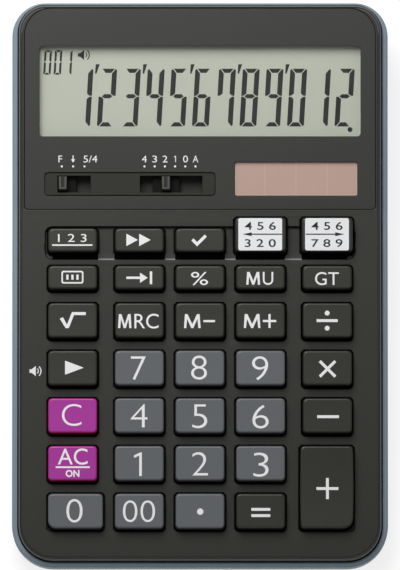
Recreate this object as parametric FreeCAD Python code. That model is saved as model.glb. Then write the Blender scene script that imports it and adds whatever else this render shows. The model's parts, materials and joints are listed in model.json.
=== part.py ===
import FreeCAD, Part
import math
import os

# Desktop calculator: a wedge-shaped case with 34 keys, two slide switches, a solar cell and
# a twelve-digit display under a slightly steeper panel.
#
# Frame: X to the right, Y towards the display, Z up. The origin lies under the middle of the
# case, in the plane that the rubber feet stand on. All sizes are millimetres.
#
# Two tilted planes carry the front of the object. The keyboard plane passes through the point
# (0, 0, FACE_Z). Its own coordinates are x, v (up the face) and n (out of the face). The display
# plane starts at the crease and has coordinates x, s and m of the same kind.

V = FreeCAD.Vector

# Case outline, seen from above
BODY_WIDTH = 126.8
BODY_LENGTH = 189.5
FRONT_CORNER_R = 14.0
REAR_CORNER_R = 11.2
RIM_SIDE = 1.8
RIM_FRONT = 1.7
RIM_REAR = 0.8
CASE_GAP = 0.45

# Wedge profile
FOOT_STANDOFF = 1.2
FRONT_HEIGHT = 13.6
KEYBOARD_TILT = 5.0
DISPLAY_TILT = 8.0
CREASE_R = 40.0

# Lower case
FLOOR_T = 2.4
LOWER_WALL = 2.0
LOWER_EDGE = 2.6
RIM_DROP = 2.6
RIM_EDGE = 0.45
REBATE_PLAY = 0.6

# Upper case
PLATE_T = 2.2
DISPLAY_PLATE_T = 3.2
SKIRT_T = 1.6
SKIRT_DEPTH = 7.0
UPPER_EDGE = 0.5
GROOVE_INSET = 0.75
GROOVE_WIDTH = 0.35
GROOVE_DEPTH = 0.3

# Display panel and its windows, in the display plane. A window's depth runs along the slope.
PANEL_T = 1.0
PANEL_LENGTH = 67.8
PANEL_FRONT_S = 0.9
PANEL_SIDE_MARGIN = 4.25
PANEL_REAR_MARGIN = 2.3
PANEL_REAR_CORNER_R = 9.0
PANEL_FRONT_CORNER_R = 1.2
PANEL_SEAM = 0.15
WINDOW_SIDE_MARGIN = 4.85
WINDOW_REAR_MARGIN = 12.65
WINDOW_CORNER_R = 1.2
SOLAR_WINDOW_DEPTH = 11.65
SOLAR_FRONT_MARGIN = 4.35
SOLAR_SIDE_MARGIN = 1.0
SOLAR_CORNER_R = 0.8
SOLAR_TO_WINDOW = 8.55
SOLAR_TO_STRIP = 6.25
STRIP_DEPTH = 8.05
STRIP_FRONT_MARGIN = 4.5
STRIP_SIDE_MARGIN = 1.75
STRIP_CORNER_R = 1.2

# Display pane, glass and holder
PANE_T = 1.0
PANE_OVERLAP = 1.8
PANE_PLAY = 0.1
SHELF_OVERLAP = 0.3
FILM_T = 0.2
GLASS_T = 0.7
GLASS_OVERLAP = 2.2
CONTACT_LEDGE = 2.4
HOLDER_WALL = 1.2
HOLDER_BACK_T = 1.2
HOLDER_PLAY = 0.15
HOLDER_WINDOW_BORDER = 8.0
RIBBON_MARGIN = 14.5
RIBBON_T = 0.2
RIBBON_LAP = 2.0
RIBBON_BEND = 0.8

# Solar cell
SOLAR_OVERLAP = 1.2
SOLAR_CELL_T = 1.1
SOLAR_VENT_LENGTH = 5.0
SOLAR_VENT_WIDTH = 4.0
SOLAR_SPRING_WIDTH = 1.6
SOLAR_SPRING_T = 0.2
SOLAR_SPRING_BEND = 0.3

# Keyboard: margins from the ends of the case and from the crease to the tops of the outer keys,
# and the gaps between the tops. The keys share the room that is left.
SIDE_KEY_MARGIN = 12.4
FRONT_KEY_MARGIN = 13.0
CREASE_KEY_MARGIN = 5.8
INNER_COLUMN_GAP = 4.15
OUTER_COLUMN_GAP = 6.2
KEY_ROW_GAP = 4.63
SMALL_ROW_GAP = 4.9
SMALL_KEY_SHARE = 0.672
TROUGH_SIDE_MARGIN = 1.3
TROUGH_FRONT_MARGIN = 2.6
TROUGH_REAR_MARGIN = 0.8
TROUGH_DEPTH = 0.8
TROUGH_CORNER_R = 2.5

# Keys
KEY_HEIGHT = 3.8
KEY_SIDE_DRAFT = 0.45
KEY_FRONT_DRAFT = 1.1
KEY_REAR_DRAFT = 0.25
KEY_CORNER_R = 1.2
KEY_WELL_CORNER = 1.0
KEY_EDGE = 0.35
KEY_DISH_R = 260.0
KEY_WALL = 1.1
KEY_TOP_T = 1.1
KEY_FLANGE_T = 0.8
KEY_FLANGE_LIP = 0.6
KEY_GAP = 0.3
KEY_STEM = 3.2
ZERO_KEY_EXTRA = 2.0
ZERO_KEY_CORNER_R = 2.6
PLUS_KEY_INWARD = 0.85
PLUS_KEY_OUTWARD = 0.45
PLUS_KEY_CORNER_R = 3.4
LABEL_KEY_EXTRA = 0.8
LABEL_KEY_OVERHANG = 3.7
LABEL_KEY_RISE = 0.3

# Rubber keypad
SHEET_T = 0.8
DOME_HEIGHT = 2.6
DOME_BASE_R = 3.7
DOME_TOP_R = 2.3
DOME_SIDES = 6
DOME_CAVITY_R = 3.7
DOME_CAVITY_TOP_R = 1.8
DOME_CAVITY_HEIGHT = 2.3
SHEET_SIDE_MARGIN = 1.0
SHEET_FRONT_MARGIN = 5.0
SHEET_CREASE_MARGIN = 0.6
SHEET_BOSS_PLAY = 1.0

# Circuit board
BOARD_T = 1.2
BOARD_SIDE_MARGIN = 9.4
BOARD_FRONT_REACH = 7.55
BOARD_REAR_REACH = 2.1
BOARD_POST_FRONT_INSET = 2.6
BOARD_POST_REAR_REACH = 1.7
BOARD_POST_R = 1.7
BOARD_SCREW_R = 0.8
BOARD_SCREW_LENGTH = 4.4
BOARD_SCREW_HEAD_R = 1.6
BOARD_SCREW_HEAD_T = 1.0
BOARD_HOLE_PLAY = 0.15
BOARD_BOSS_PLAY = 0.5
CHIP_X = 5.0
CHIP_V = -4.0
CHIP_R = 6.0
CHIP_T = 1.6

# Crystal, two capacitors and a diode under the board: x, v, length, width and height of each
SOLDERED_PARTS = (
    (26.0, -3.0, 6.0, 2.2, 1.6),
    (-9.5, 4.8, 3.0, 1.6, 1.0),
    (-9.5, 8.8, 3.0, 1.6, 1.0),
    (12.5, 13.0, 3.5, 1.8, 1.2),
)

# Slide switches, in the display plane
SLOT_WIDTH = 5.6
KNOB_WIDTH = 2.84
KNOB_LENGTH = 4.4
KNOB_FRONT_WALL = 0.6
KNOB_SIDE_PLAY = 0.15
KNOB_HEIGHT = 1.2
KNOB_GROOVE_WIDTH = 1.1
KNOB_GROOVE_DEPTH = 0.5
KNOB_EDGE = 0.25
SLOT_END_PLAY = 0.35
ROUNDING_STRIP_MARGIN = 6.25
ROUNDING_PITCH = 3.8
ROUNDING_PLACES = 3
SWITCH_DISTANCE = 20.2
DECIMAL_PITCH = 3.5
DECIMAL_PLACES = 6
DECIMAL_REST_PLACES = 2
DECIMAL_STRIP_MARGIN = 6.3
SLIDER_LENGTH = 9.1
SLIDER_WIDTH = 8.2
SLIDER_T = 1.1
SLIDER_PLAY = 0.1
RAIL_T = 1.0
RAIL_DEPTH = 1.4
RAIL_PLAY = 0.2
WIPER_T = 0.2
WIPER_WIDTH = 2.6
WIPER_REACH = 3.4
WIPER_FLAT = 1.5
WIPER_PLAY = 0.15

# Fasteners of the case. A boss starts at its own depth under the face.
CASE_SCREW_R = 0.95
CASE_SCREW_LENGTH = 6.0
CASE_SCREW_HEAD_R = 2.3
CASE_SCREW_HEAD_T = 1.5
CASE_SCREW_HOLE_R = 1.25
PILOT_HOLE_SPARE = 0.4
HEAD_WELL_R = 2.6
BOSS_R = 3.8
BOSS_SHOULDER = 2.0
POST_R = 3.0
FRONT_BOSS_SIDE_INSET = 7.8
FRONT_BOSS_END_INSET = 9.2
FRONT_BOSS_DEPTH = 7.4
REAR_BOSS_SIDE_INSET = 8.8
REAR_BOSS_END_INSET = 6.8
REAR_BOSS_DEPTH = 12.95

# Feet
FOOT_R = 4.5
FOOT_SEAT = 0.8
FOOT_PLAY = 0.1
FOOT_SIDE_INSET = 14.8
FOOT_END_INSET = 14.75

# Battery, its box, contacts and cover
CELL_R = 5.8
CELL_CAP_R = 4.6
CELL_T = 5.4
CELL_CAP_T = 0.5
CELL_SIDE_INSET = 29.6
CELL_FROM_BOARD = 18.6
CELL_PLAY = 0.35
BOX_WALL = 1.2
BOX_RISE = 0.6
CONTACT_T = 0.3
CONTACT_WIDTH = 4.0
CONTACT_BEND = 0.4
HOOK_RISE = 0.25
CONTACT_DIP_HALF = 2.3
CONTACT_SLOPE = 1.2
COVER_T = 1.6
COVER_MARGIN = 3.4
COVER_SCREW_DISTANCE = 12.0
COVER_PAD_R = 3.4
COVER_PAD_T = 2.7
COVER_HEAD_DEPTH = 1.7
COVER_PLAY = 0.15
COVER_BOSS_R = 4.8
COVER_CORNER_R = 1.5

# Buzzer and leads
BUZZER_SIDE_INSET = 33.4
BUZZER_FROM_BOARD = 18.6
BUZZER_R = 10.0
BUZZER_PLATE_T = 0.25
BUZZER_CERAMIC_R = 7.0
BUZZER_CERAMIC_T = 0.25
BUZZER_SEAT_WIDTH = 1.2
BUZZER_SEAT_HEIGHT = 2.0
LEAD_T = 0.9
LEAD_WIDTH = 1.6
LEAD_BEND = 1.5
LEAD_REACH = 4.0
BUZZER_LEAD_RUN = 8.0
BATTERY_LEAD_RUN = 8.0
BATTERY_LEAD_DROP = 2.0
BATTERY_LEAD_START = 0.5

# Ribs of the lower case under board and display
RIB_T = 1.2
RIB_PLAY = 0.2
BOARD_RIB_X = 20.0
FRONT_RIB_DISTANCE = 28.75
REAR_RIB_DISTANCE = 60.75
HOLDER_RIB_INSET = 6.0

# Flats round small, larger and the largest corners, and round screws, posts and other rods
SMALL_CORNER_SIDES = 2
LARGE_CORNER_SIDES = 4
HUGE_CORNER_SIDES = 6
LARGE_CORNER_R = 2.2
HUGE_CORNER_R = 5.0
ROD_SIDES = 10

# Far more than the object measures, for cutting solids
SKY_Z = 120.0
REACH = 200.0
EDGE_SEARCH = 1.0

# Names of the plain keys by row, from the front row to the back one
KEY_NAMES = [
    ("key_0", "key_00", "key_point", "key_equals", None),
    ("key_all_clear", "key_1", "key_2", "key_3", "key_plus"),
    ("key_clear", "key_4", "key_5", "key_6", "key_minus"),
    ("key_backspace", "key_7", "key_8", "key_9", "key_multiply"),
    ("key_square_root", "key_memory_recall", "key_memory_minus", "key_memory_plus", "key_divide"),
]
SMALL_NAMES = ("key_show_steps", "key_go_to", "key_percent", "key_markup", "key_grand_total")
TROUGH_NAMES = ("key_recheck", "key_auto_review", "key_correct", "key_step_back", "key_step_forward")
LABEL_NAMES = TROUGH_NAMES[3:]

# Heights
HALF_WIDTH = BODY_WIDTH / 2
HALF_LENGTH = BODY_LENGTH / 2
FLOOR_Z = FOOT_STANDOFF + FLOOR_T
FACE_Z = FRONT_HEIGHT + HALF_LENGTH * math.tan(math.radians(KEYBOARD_TILT))

# Display panel: its front edge lies just behind the crease
PANEL_REAR_S = PANEL_FRONT_S + PANEL_LENGTH
PANEL_REACH_Y = PANEL_REAR_S * math.cos(math.radians(DISPLAY_TILT))
CREASE_Y = HALF_LENGTH - PANEL_REAR_MARGIN - PANEL_REACH_Y
CREASE_V = CREASE_Y / math.cos(math.radians(KEYBOARD_TILT))
PANEL_HALF_WIDTH = HALF_WIDTH - PANEL_SIDE_MARGIN
SOLAR_FRONT_S = PANEL_FRONT_S + SOLAR_FRONT_MARGIN
SOLAR_REAR_S = SOLAR_FRONT_S + SOLAR_WINDOW_DEPTH
SOLAR_MIDDLE_S = (SOLAR_FRONT_S + SOLAR_REAR_S) / 2
WINDOW_HALF_WIDTH = PANEL_HALF_WIDTH - WINDOW_SIDE_MARGIN
WINDOW_FRONT_S = SOLAR_REAR_S + SOLAR_TO_WINDOW
WINDOW_REAR_S = PANEL_REAR_S - WINDOW_REAR_MARGIN
STRIP_FRONT_S = PANEL_FRONT_S + STRIP_FRONT_MARGIN
STRIP_REAR_S = STRIP_FRONT_S + STRIP_DEPTH
SLOT_S = (STRIP_FRONT_S + STRIP_REAR_S) / 2

# Places of both slide switches, and the ends of the strip and of the solar window beside it
STRIP_LEFT_X = -WINDOW_HALF_WIDTH + STRIP_SIDE_MARGIN
ROUNDING_STOPS = [STRIP_LEFT_X + ROUNDING_STRIP_MARGIN + i * ROUNDING_PITCH for i in range(ROUNDING_PLACES)]
DECIMAL_STOPS = [ROUNDING_STOPS[-1] + SWITCH_DISTANCE + i * DECIMAL_PITCH for i in range(DECIMAL_PLACES)]
STRIP_RIGHT_X = DECIMAL_STOPS[-1] + DECIMAL_STRIP_MARGIN
SOLAR_LEFT_X = STRIP_RIGHT_X + SOLAR_TO_STRIP
SOLAR_RIGHT_X = WINDOW_HALF_WIDTH - SOLAR_SIDE_MARGIN

# Keys: all columns are equally wide, the long rows equally long
KEY_FIELD_WIDTH = BODY_WIDTH - 2 * (SIDE_KEY_MARGIN + INNER_COLUMN_GAP + OUTER_COLUMN_GAP)
KEY_WIDTH = KEY_FIELD_WIDTH / len(SMALL_NAMES)
INNER_COLUMN_PITCH = KEY_WIDTH + INNER_COLUMN_GAP
OUTER_COLUMN_PITCH = KEY_WIDTH + OUTER_COLUMN_GAP
COLUMNS = [
    -INNER_COLUMN_PITCH - OUTER_COLUMN_PITCH,
    -INNER_COLUMN_PITCH,
    0.0,
    INNER_COLUMN_PITCH,
    INNER_COLUMN_PITCH + OUTER_COLUMN_PITCH,
]
OUTER_KEY_EDGE = HALF_WIDTH - SIDE_KEY_MARGIN
KEY_FRONT_V = FRONT_KEY_MARGIN - HALF_LENGTH / math.cos(math.radians(KEYBOARD_TILT))
KEY_REAR_V = CREASE_V - CREASE_KEY_MARGIN
KEY_FIELD_LENGTH = KEY_REAR_V - KEY_FRONT_V - (len(KEY_NAMES) - 1) * KEY_ROW_GAP - 2 * SMALL_ROW_GAP
KEY_LENGTH = KEY_FIELD_LENGTH / (len(KEY_NAMES) + 2 * SMALL_KEY_SHARE)
SMALL_KEY_LENGTH = KEY_LENGTH * SMALL_KEY_SHARE
ROW_PITCH = KEY_LENGTH + KEY_ROW_GAP
ROWS = [KEY_FRONT_V + KEY_LENGTH / 2 + i * ROW_PITCH for i in range(len(KEY_NAMES))]
TROUGH_ROW_FRONT_V = KEY_REAR_V - SMALL_KEY_LENGTH
TROUGH_ROW_V = KEY_REAR_V - SMALL_KEY_LENGTH / 2
SMALL_ROW_V = TROUGH_ROW_V - SMALL_KEY_LENGTH - SMALL_ROW_GAP
TROUGH_HALF_WIDTH = OUTER_KEY_EDGE + TROUGH_SIDE_MARGIN
TROUGH_FRONT_V = TROUGH_ROW_FRONT_V - TROUGH_FRONT_MARGIN
TROUGH_REAR_V = KEY_REAR_V + TROUGH_REAR_MARGIN

# Board and keypad sheet reach a little past the keys
BOARD_HALF_WIDTH = HALF_WIDTH - BOARD_SIDE_MARGIN
BOARD_FRONT_V = KEY_FRONT_V - BOARD_FRONT_REACH
BOARD_REAR_V = CREASE_V + SOLAR_REAR_S + BOARD_REAR_REACH
BOARD_REAR_Y = BOARD_REAR_V * math.cos(math.radians(KEYBOARD_TILT))
SHEET_HALF_WIDTH = BOARD_HALF_WIDTH - SHEET_SIDE_MARGIN
SHEET_FRONT_V = BOARD_FRONT_V + SHEET_FRONT_MARGIN
SHEET_REAR_V = CREASE_V - SHEET_CREASE_MARGIN
BOARD_POST_X = (COLUMNS[3] + COLUMNS[4]) / 2
BOARD_POST_FRONT_V = BOARD_FRONT_V + BOARD_POST_FRONT_INSET
BOARD_POST_REAR_V = CREASE_V + BOARD_POST_REAR_REACH

# Battery and buzzer, in the room under the display
CELL_X = -HALF_WIDTH + CELL_SIDE_INSET
CELL_Y = BOARD_REAR_Y + CELL_FROM_BOARD
BUZZER_X = HALF_WIDTH - BUZZER_SIDE_INSET
BUZZER_Y = BOARD_REAR_Y + BUZZER_FROM_BOARD

# Depths under the keyboard plane
KEY_STOP_N = -PLATE_T
KEY_FOOT_N = KEY_STOP_N - KEY_FLANGE_T
SHEET_TOP_N = KEY_FOOT_N - DOME_HEIGHT
BOARD_TOP_N = SHEET_TOP_N - SHEET_T
BOARD_FOOT_N = BOARD_TOP_N - BOARD_T

# Depths under the display plane
PANE_TOP_M = -PANEL_T
PANE_FOOT_M = PANE_TOP_M - PANE_T
GLASS_TOP_M = -DISPLAY_PLATE_T
HOLDER_SEAT_M = GLASS_TOP_M - 2 * FILM_T - 2 * GLASS_T
SOLAR_FOOT_M = -PANEL_T - SOLAR_CELL_T
SLIDER_TOP_M = -DISPLAY_PLATE_T - SLIDER_PLAY
SLIDER_FOOT_M = SLIDER_TOP_M - SLIDER_T



def direction(tilt):
    """Unit vectors up a face and out of it, in the YZ plane, for a tilt in degrees."""
    a = math.radians(tilt)
    return V(0, math.cos(a), math.sin(a)), V(0, -math.sin(a), math.cos(a))


UP_FACE, OUT_FACE = direction(KEYBOARD_TILT)
UP_DISPLAY, OUT_DISPLAY = direction(DISPLAY_TILT)
CREASE = V(0, 0, FACE_Z) + UP_FACE * CREASE_V


def on_keyboard(shape):
    """Moves a shape from the coordinates of the keyboard plane to its place on the object."""
    shape.rotate(V(0, 0, 0), V(1, 0, 0), KEYBOARD_TILT)
    shape.translate(V(0, 0, FACE_Z))
    return shape


def on_display(shape):
    """Moves a shape from the coordinates of the display plane to its place on the object."""
    shape.rotate(V(0, 0, 0), V(1, 0, 0), DISPLAY_TILT)
    shape.translate(CREASE)
    return shape


def keyboard_point(x, v, n):
    return V(x, 0, FACE_Z) + UP_FACE * v + OUT_FACE * n


def display_point(x, s, m):
    return CREASE + V(x, 0, 0) + UP_DISPLAY * s + OUT_DISPLAY * m


def rounded_wire(x0, y0, x1, y1, radii, z=0.0):
    """Outline of a rectangle with a radius at its front left, front right, rear right and
    rear left corner."""
    fl, fr, rr, rl = radii
    c = math.sqrt(0.5)
    corners = (
        (V(x1 - fr, y0 + fr, z), fr, 0, -1, 1, 0),
        (V(x1 - rr, y1 - rr, z), rr, 1, 0, 0, 1),
        (V(x0 + rl, y1 - rl, z), rl, 0, 1, -1, 0),
        (V(x0 + fl, y0 + fl, z), fl, -1, 0, 0, -1),
    )
    edges = []
    last = V(x0 + fl, y0, z)
    for centre, r, ax, ay, bx, by in corners:
        start = centre + V(ax * r, ay * r, 0)
        middle = centre + V((ax + bx) * r * c, (ay + by) * r * c, 0)
        end = centre + V(bx * r, by * r, 0)
        edges.append(Part.LineSegment(last, start).toShape())
        edges.append(Part.Arc(start, middle, end).toShape())
        last = end
    return Part.Wire(edges)


def chamfered_ring(x0, y0, x1, y1, c, z):
    """Points round a rectangle with its corners cut off straight."""
    return [
        V(x0 + c, y0, z), V(x1 - c, y0, z), V(x1, y0 + c, z), V(x1, y1 - c, z),
        V(x1 - c, y1, z), V(x0 + c, y1, z), V(x0, y1 - c, z), V(x0, y0 + c, z),
    ]


def flat_ring(x0, y0, x1, y1, radii, z):
    """Points round a rectangle whose corners are rounded by flats, more where the radius is
    larger."""
    fl, fr, rr, rl = radii
    points = []
    for cx, cy, r, turn in (
        (x1 - fr, y0 + fr, fr, -90), (x1 - rr, y1 - rr, rr, 0),
        (x0 + rl, y1 - rl, rl, 90), (x0 + fl, y0 + fl, fl, 180),
    ):
        flats = SMALL_CORNER_SIDES
        if r > LARGE_CORNER_R:
            flats = LARGE_CORNER_SIDES
        if r > HUGE_CORNER_R:
            flats = HUGE_CORNER_SIDES
        for i in range(flats + 1):
            a = math.radians(turn + 90 * i / flats)
            points.append(V(cx + r * math.cos(a), cy + r * math.sin(a), z))
    return points


def stack(rings):
    """Solid with flat faces through a stack of rings that have the same number of points."""
    faces = [Part.Face(Part.makePolygon(ring + ring[:1])) for ring in (rings[0], rings[-1])]
    for low, high in zip(rings, rings[1:]):
        for a, b, c, d in zip(low, low[1:] + low[:1], high[1:] + high[:1], high):
            faces.append(Part.Face(Part.makePolygon([a, b, c, d, a])))
    solid = Part.Solid(Part.Shell(faces))
    if solid.Volume < 0:
        solid.reverse()
    return solid


def prism(wire, depth):
    """Solid between a flat outline and its copy at the given distance along Z."""
    return Part.Face(wire).extrude(V(0, 0, depth))


def block(x0, y0, x1, y1, r, z0, z1):
    """Upright block with rounded corners."""
    radii = (r, r, r, r)
    return stack([flat_ring(x0, y0, x1, y1, radii, z0), flat_ring(x0, y0, x1, y1, radii, z1)])


def box(x0, y0, z0, x1, y1, z1):
    return Part.makeBox(x1 - x0, y1 - y0, z1 - z0, V(x0, y0, z0))


def polygon(x, y, r, sides, z):
    """Corners of a regular polygon whose flats face along X and Y."""
    turns = [2 * math.pi * (i + 0.5) / sides for i in range(sides)]
    return [V(x + r * math.cos(a), y + r * math.sin(a), z) for a in turns]


def rod(x, y, r, z0, z1):
    """Small upright rod or hole. Screws, bosses and their holes repeat often, so each has the
    same number of flats round it, and the flats of a shaft and its hole face the same way."""
    return stack([polygon(x, y, r, ROD_SIDES, z0), polygon(x, y, r, ROD_SIDES, z1)])


def fused(first, *others):
    return first.fuse(list(others)).removeSplitter()


def profile_points(offset):
    """The wedge profile of the face at a distance from it: start and end of the soft crease."""
    reach = CREASE_R * math.tan(math.radians(DISPLAY_TILT - KEYBOARD_TILT) / 2)
    a = CREASE - UP_FACE * reach + OUT_FACE * offset
    b = CREASE + UP_DISPLAY * reach + OUT_DISPLAY * offset
    centre = CREASE - UP_FACE * reach + OUT_FACE * CREASE_R
    middle = centre - (OUT_FACE + OUT_DISPLAY).normalize() * (CREASE_R - offset)
    return a, middle, b


def above_face(offset):
    """Everything above the face profile moved out by the offset, as one large solid."""
    a, middle, b = profile_points(offset)
    front = a - UP_FACE * REACH
    rear = b + UP_DISPLAY * REACH
    top_rear = V(0, rear.y, rear.z + SKY_Z)
    top_front = V(0, front.y, rear.z + SKY_Z)
    edges = [
        Part.LineSegment(front, a).toShape(),
        Part.Arc(a, middle, b).toShape(),
        Part.LineSegment(b, rear).toShape(),
        Part.LineSegment(rear, top_rear).toShape(),
        Part.LineSegment(top_rear, top_front).toShape(),
        Part.LineSegment(top_front, front).toShape(),
    ]
    solid = Part.Face(Part.Wire(edges)).extrude(V(2 * REACH, 0, 0))
    solid.translate(V(-REACH, 0, 0))
    return solid


def face_height(y):
    """Height of the face over the ground at a place along Y, with a sharp crease."""
    if y < CREASE.y:
        return FACE_Z + y * math.tan(math.radians(KEYBOARD_TILT))
    return CREASE.z + (y - CREASE.y) * math.tan(math.radians(DISPLAY_TILT))


def inner_outline(side, front, rear):
    """Case outline drawn in at the sides, front and rear: its ends and its corner radii."""
    front_r = FRONT_CORNER_R - max(side, front)
    rear_r = REAR_CORNER_R - max(side, rear)
    ends = (-HALF_WIDTH + side, -HALF_LENGTH + front, HALF_WIDTH - side, HALF_LENGTH - rear)
    return ends, (front_r, front_r, rear_r, rear_r)


def case_outline(side, front, rear, z0, z1):
    """Upright prism on the case outline, drawn in by a distance at the sides, front and rear."""
    ends, radii = inner_outline(side, front, rear)
    return prism(rounded_wire(*ends, radii, z0), z1 - z0)


def faceted_outline(side, front, rear, z0, z1):
    """The same prism with flats round its corners, for inner walls and fine grooves."""
    ends, radii = inner_outline(side, front, rear)
    return stack([flat_ring(*ends, radii, z0), flat_ring(*ends, radii, z1)])


def rim_edges(shape, drop, side, front, rear):
    """The outer edges of a case half that run round it at its top."""
    found = []
    for edge in shape.Edges:
        middle = edge.valueAt((edge.FirstParameter + edge.LastParameter) / 2)
        ends = [vertex.Point for vertex in edge.Vertexes]
        low = min(p.z - face_height(p.y) for p in ends + [middle])
        inside = (
            abs(middle.x) < HALF_WIDTH - side - EDGE_SEARCH
            and -HALF_LENGTH + front + EDGE_SEARCH < middle.y < HALF_LENGTH - rear - EDGE_SEARCH
        )
        if low > -drop - EDGE_SEARCH and not inside:
            found.append(edge)
    return found


def strip_line(points, bend):
    """Middle line of a bent strip: every corner is cut off, so that it bends in two steps."""
    line = [points[0]]
    for before, here, after in zip(points, points[1:], points[2:]):
        line.append(here + (before - here).normalize() * bend)
        line.append(here + (after - here).normalize() * bend)
    line.append(points[-1])
    return line


def bent_strip(points, bend, t, width):
    """Strip of sheet metal, film or flat lead of thickness t, as wide as given. Its middle line
    runs through the points, which lie in one plane."""
    line = strip_line(points, bend)
    across = (points[1] - points[0]).cross(points[2] - points[1]).normalize()
    steps = [(q - p).normalize() for p, q in zip(line, line[1:])]
    near, far = [], []
    for p, a, b in zip(line, steps[:1] + steps, steps + steps[-1:]):
        out = across.cross(a + b).normalize()
        reach = t / 2 / across.cross(a).dot(out)
        near.append(p + out * reach - across * (width / 2))
        far.append(p - out * reach - across * (width / 2))
    ring = near + far[::-1]
    return Part.Face(Part.makePolygon(ring + ring[:1])).extrude(across * width)


def key_list():
    """Every key as (name, x, v, width and length of its top, height, corner radii of the top)."""
    r = KEY_CORNER_R
    plain = (r, r, r, r)
    keys = []
    for v, names in zip(ROWS, KEY_NAMES):
        for x, name in zip(COLUMNS, names):
            if name == "key_0":
                radii = (ZERO_KEY_CORNER_R, r, r, r)
                width = KEY_WIDTH + ZERO_KEY_EXTRA
                keys.append((name, x + ZERO_KEY_EXTRA / 2, v, width, KEY_LENGTH, KEY_HEIGHT, radii))
            elif name == "key_plus":
                radii = (r, PLUS_KEY_CORNER_R, r, r)
                middle = x + (PLUS_KEY_OUTWARD - PLUS_KEY_INWARD) / 2
                width = KEY_WIDTH + PLUS_KEY_INWARD + PLUS_KEY_OUTWARD
                length = KEY_LENGTH + ROW_PITCH
                keys.append((name, middle, v - ROW_PITCH / 2, width, length, KEY_HEIGHT, radii))
            elif name:
                keys.append((name, x, v, KEY_WIDTH, KEY_LENGTH, KEY_HEIGHT, plain))
    for x, name in zip(COLUMNS, SMALL_NAMES):
        keys.append((name, x, SMALL_ROW_V, KEY_WIDTH, SMALL_KEY_LENGTH, KEY_HEIGHT, plain))
    for x, name in zip(COLUMNS, TROUGH_NAMES):
        if name in LABEL_NAMES:
            width = KEY_WIDTH + LABEL_KEY_EXTRA
            length = SMALL_KEY_LENGTH + LABEL_KEY_OVERHANG
            v = TROUGH_ROW_V + LABEL_KEY_OVERHANG / 2
            keys.append((name, x, v, width, length, KEY_HEIGHT + LABEL_KEY_RISE, plain))
        else:
            keys.append((name, x, TROUGH_ROW_V, KEY_WIDTH, SMALL_KEY_LENGTH, KEY_HEIGHT, plain))
    return keys


def key_base(width, length):
    """Half width, front end and rear end of a key's outside where it is widest."""
    return width / 2 + KEY_SIDE_DRAFT, -length / 2 - KEY_FRONT_DRAFT, length / 2 + KEY_REAR_DRAFT


def key_cap(width, length, height, radii):
    """Key cap with tapered walls, a bevelled top that is dished on all but the short keys, a
    hollow underside with the stem that presses the dome, and a flange that stops under the case."""
    half, front, rear = key_base(width, length)
    share = KEY_EDGE / (height + KEY_FLANGE_T)
    cap = stack([
        flat_ring(-half, front, half, rear, radii, KEY_STOP_N - KEY_FLANGE_T / 2),
        flat_ring(
            -width / 2 - KEY_SIDE_DRAFT * share, -length / 2 - KEY_FRONT_DRAFT * share,
            width / 2 + KEY_SIDE_DRAFT * share, length / 2 + KEY_REAR_DRAFT * share,
            radii, height - KEY_EDGE,
        ),
        flat_ring(
            -width / 2 + KEY_EDGE, -length / 2 + KEY_EDGE,
            width / 2 - KEY_EDGE, length / 2 - KEY_EDGE, radii, height,
        ),
    ])
    lip = KEY_GAP + KEY_FLANGE_LIP
    cap = fused(cap, box(-half - lip, front - lip, KEY_FOOT_N, half + lip, rear + lip, KEY_STOP_N))
    flat_half = length / 2 - KEY_EDGE
    sag = 0.0
    if length > SMALL_KEY_LENGTH:
        sag = KEY_DISH_R - math.sqrt(KEY_DISH_R**2 - flat_half**2)
        dish = Part.makeCylinder(KEY_DISH_R, 2 * width, V(-width, 0, 0), V(1, 0, 0))
        dish.translate(V(0, 0, height + KEY_DISH_R - sag))
        cap = cap.cut(dish)
    ceiling = height - sag - KEY_TOP_T
    hollow = box(
        -width / 2 + KEY_WALL, -length / 2 + KEY_WALL, KEY_FOOT_N,
        width / 2 - KEY_WALL, length / 2 - KEY_WALL, ceiling,
    )
    stem = box(-KEY_STEM / 2, -KEY_STEM / 2, KEY_FOOT_N, KEY_STEM / 2, KEY_STEM / 2, ceiling)
    return cap.cut(hollow.cut(stem))


def key_well(x, v, width, length):
    """Opening of the case for a key."""
    half, front, rear = key_base(width, length)
    g = KEY_GAP
    points = chamfered_ring(
        x - half - g, v + front - g, x + half + g, v + rear + g, KEY_WELL_CORNER, -2 * PLATE_T,
    )
    return Part.Face(Part.makePolygon(points + points[:1])).extrude(V(0, 0, 3 * PLATE_T))


def dome(x, v):
    """Outside of one rubber dome."""
    low, high = SHEET_TOP_N, SHEET_TOP_N + DOME_HEIGHT
    return stack([polygon(x, v, DOME_BASE_R, DOME_SIDES, low), polygon(x, v, DOME_TOP_R, DOME_SIDES, high)])


def dome_cavity(x, v):
    """Hollow under one rubber dome."""
    low, high = BOARD_TOP_N, BOARD_TOP_N + DOME_CAVITY_HEIGHT
    return stack([polygon(x, v, DOME_CAVITY_R, 4, low), polygon(x, v, DOME_CAVITY_TOP_R, 4, high)])


def case_screw(x, y, seat_z):
    """Self-tapping screw driven upwards, its head's upper side at the given height."""
    head = rod(x, y, CASE_SCREW_HEAD_R, seat_z - CASE_SCREW_HEAD_T, seat_z)
    return fused(head, rod(x, y, CASE_SCREW_R, seat_z, seat_z + CASE_SCREW_LENGTH))


def mirrored(x, y):
    """A place and its mirror image at the other side of the object."""
    return [(x, y), (-x, y)]


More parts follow.
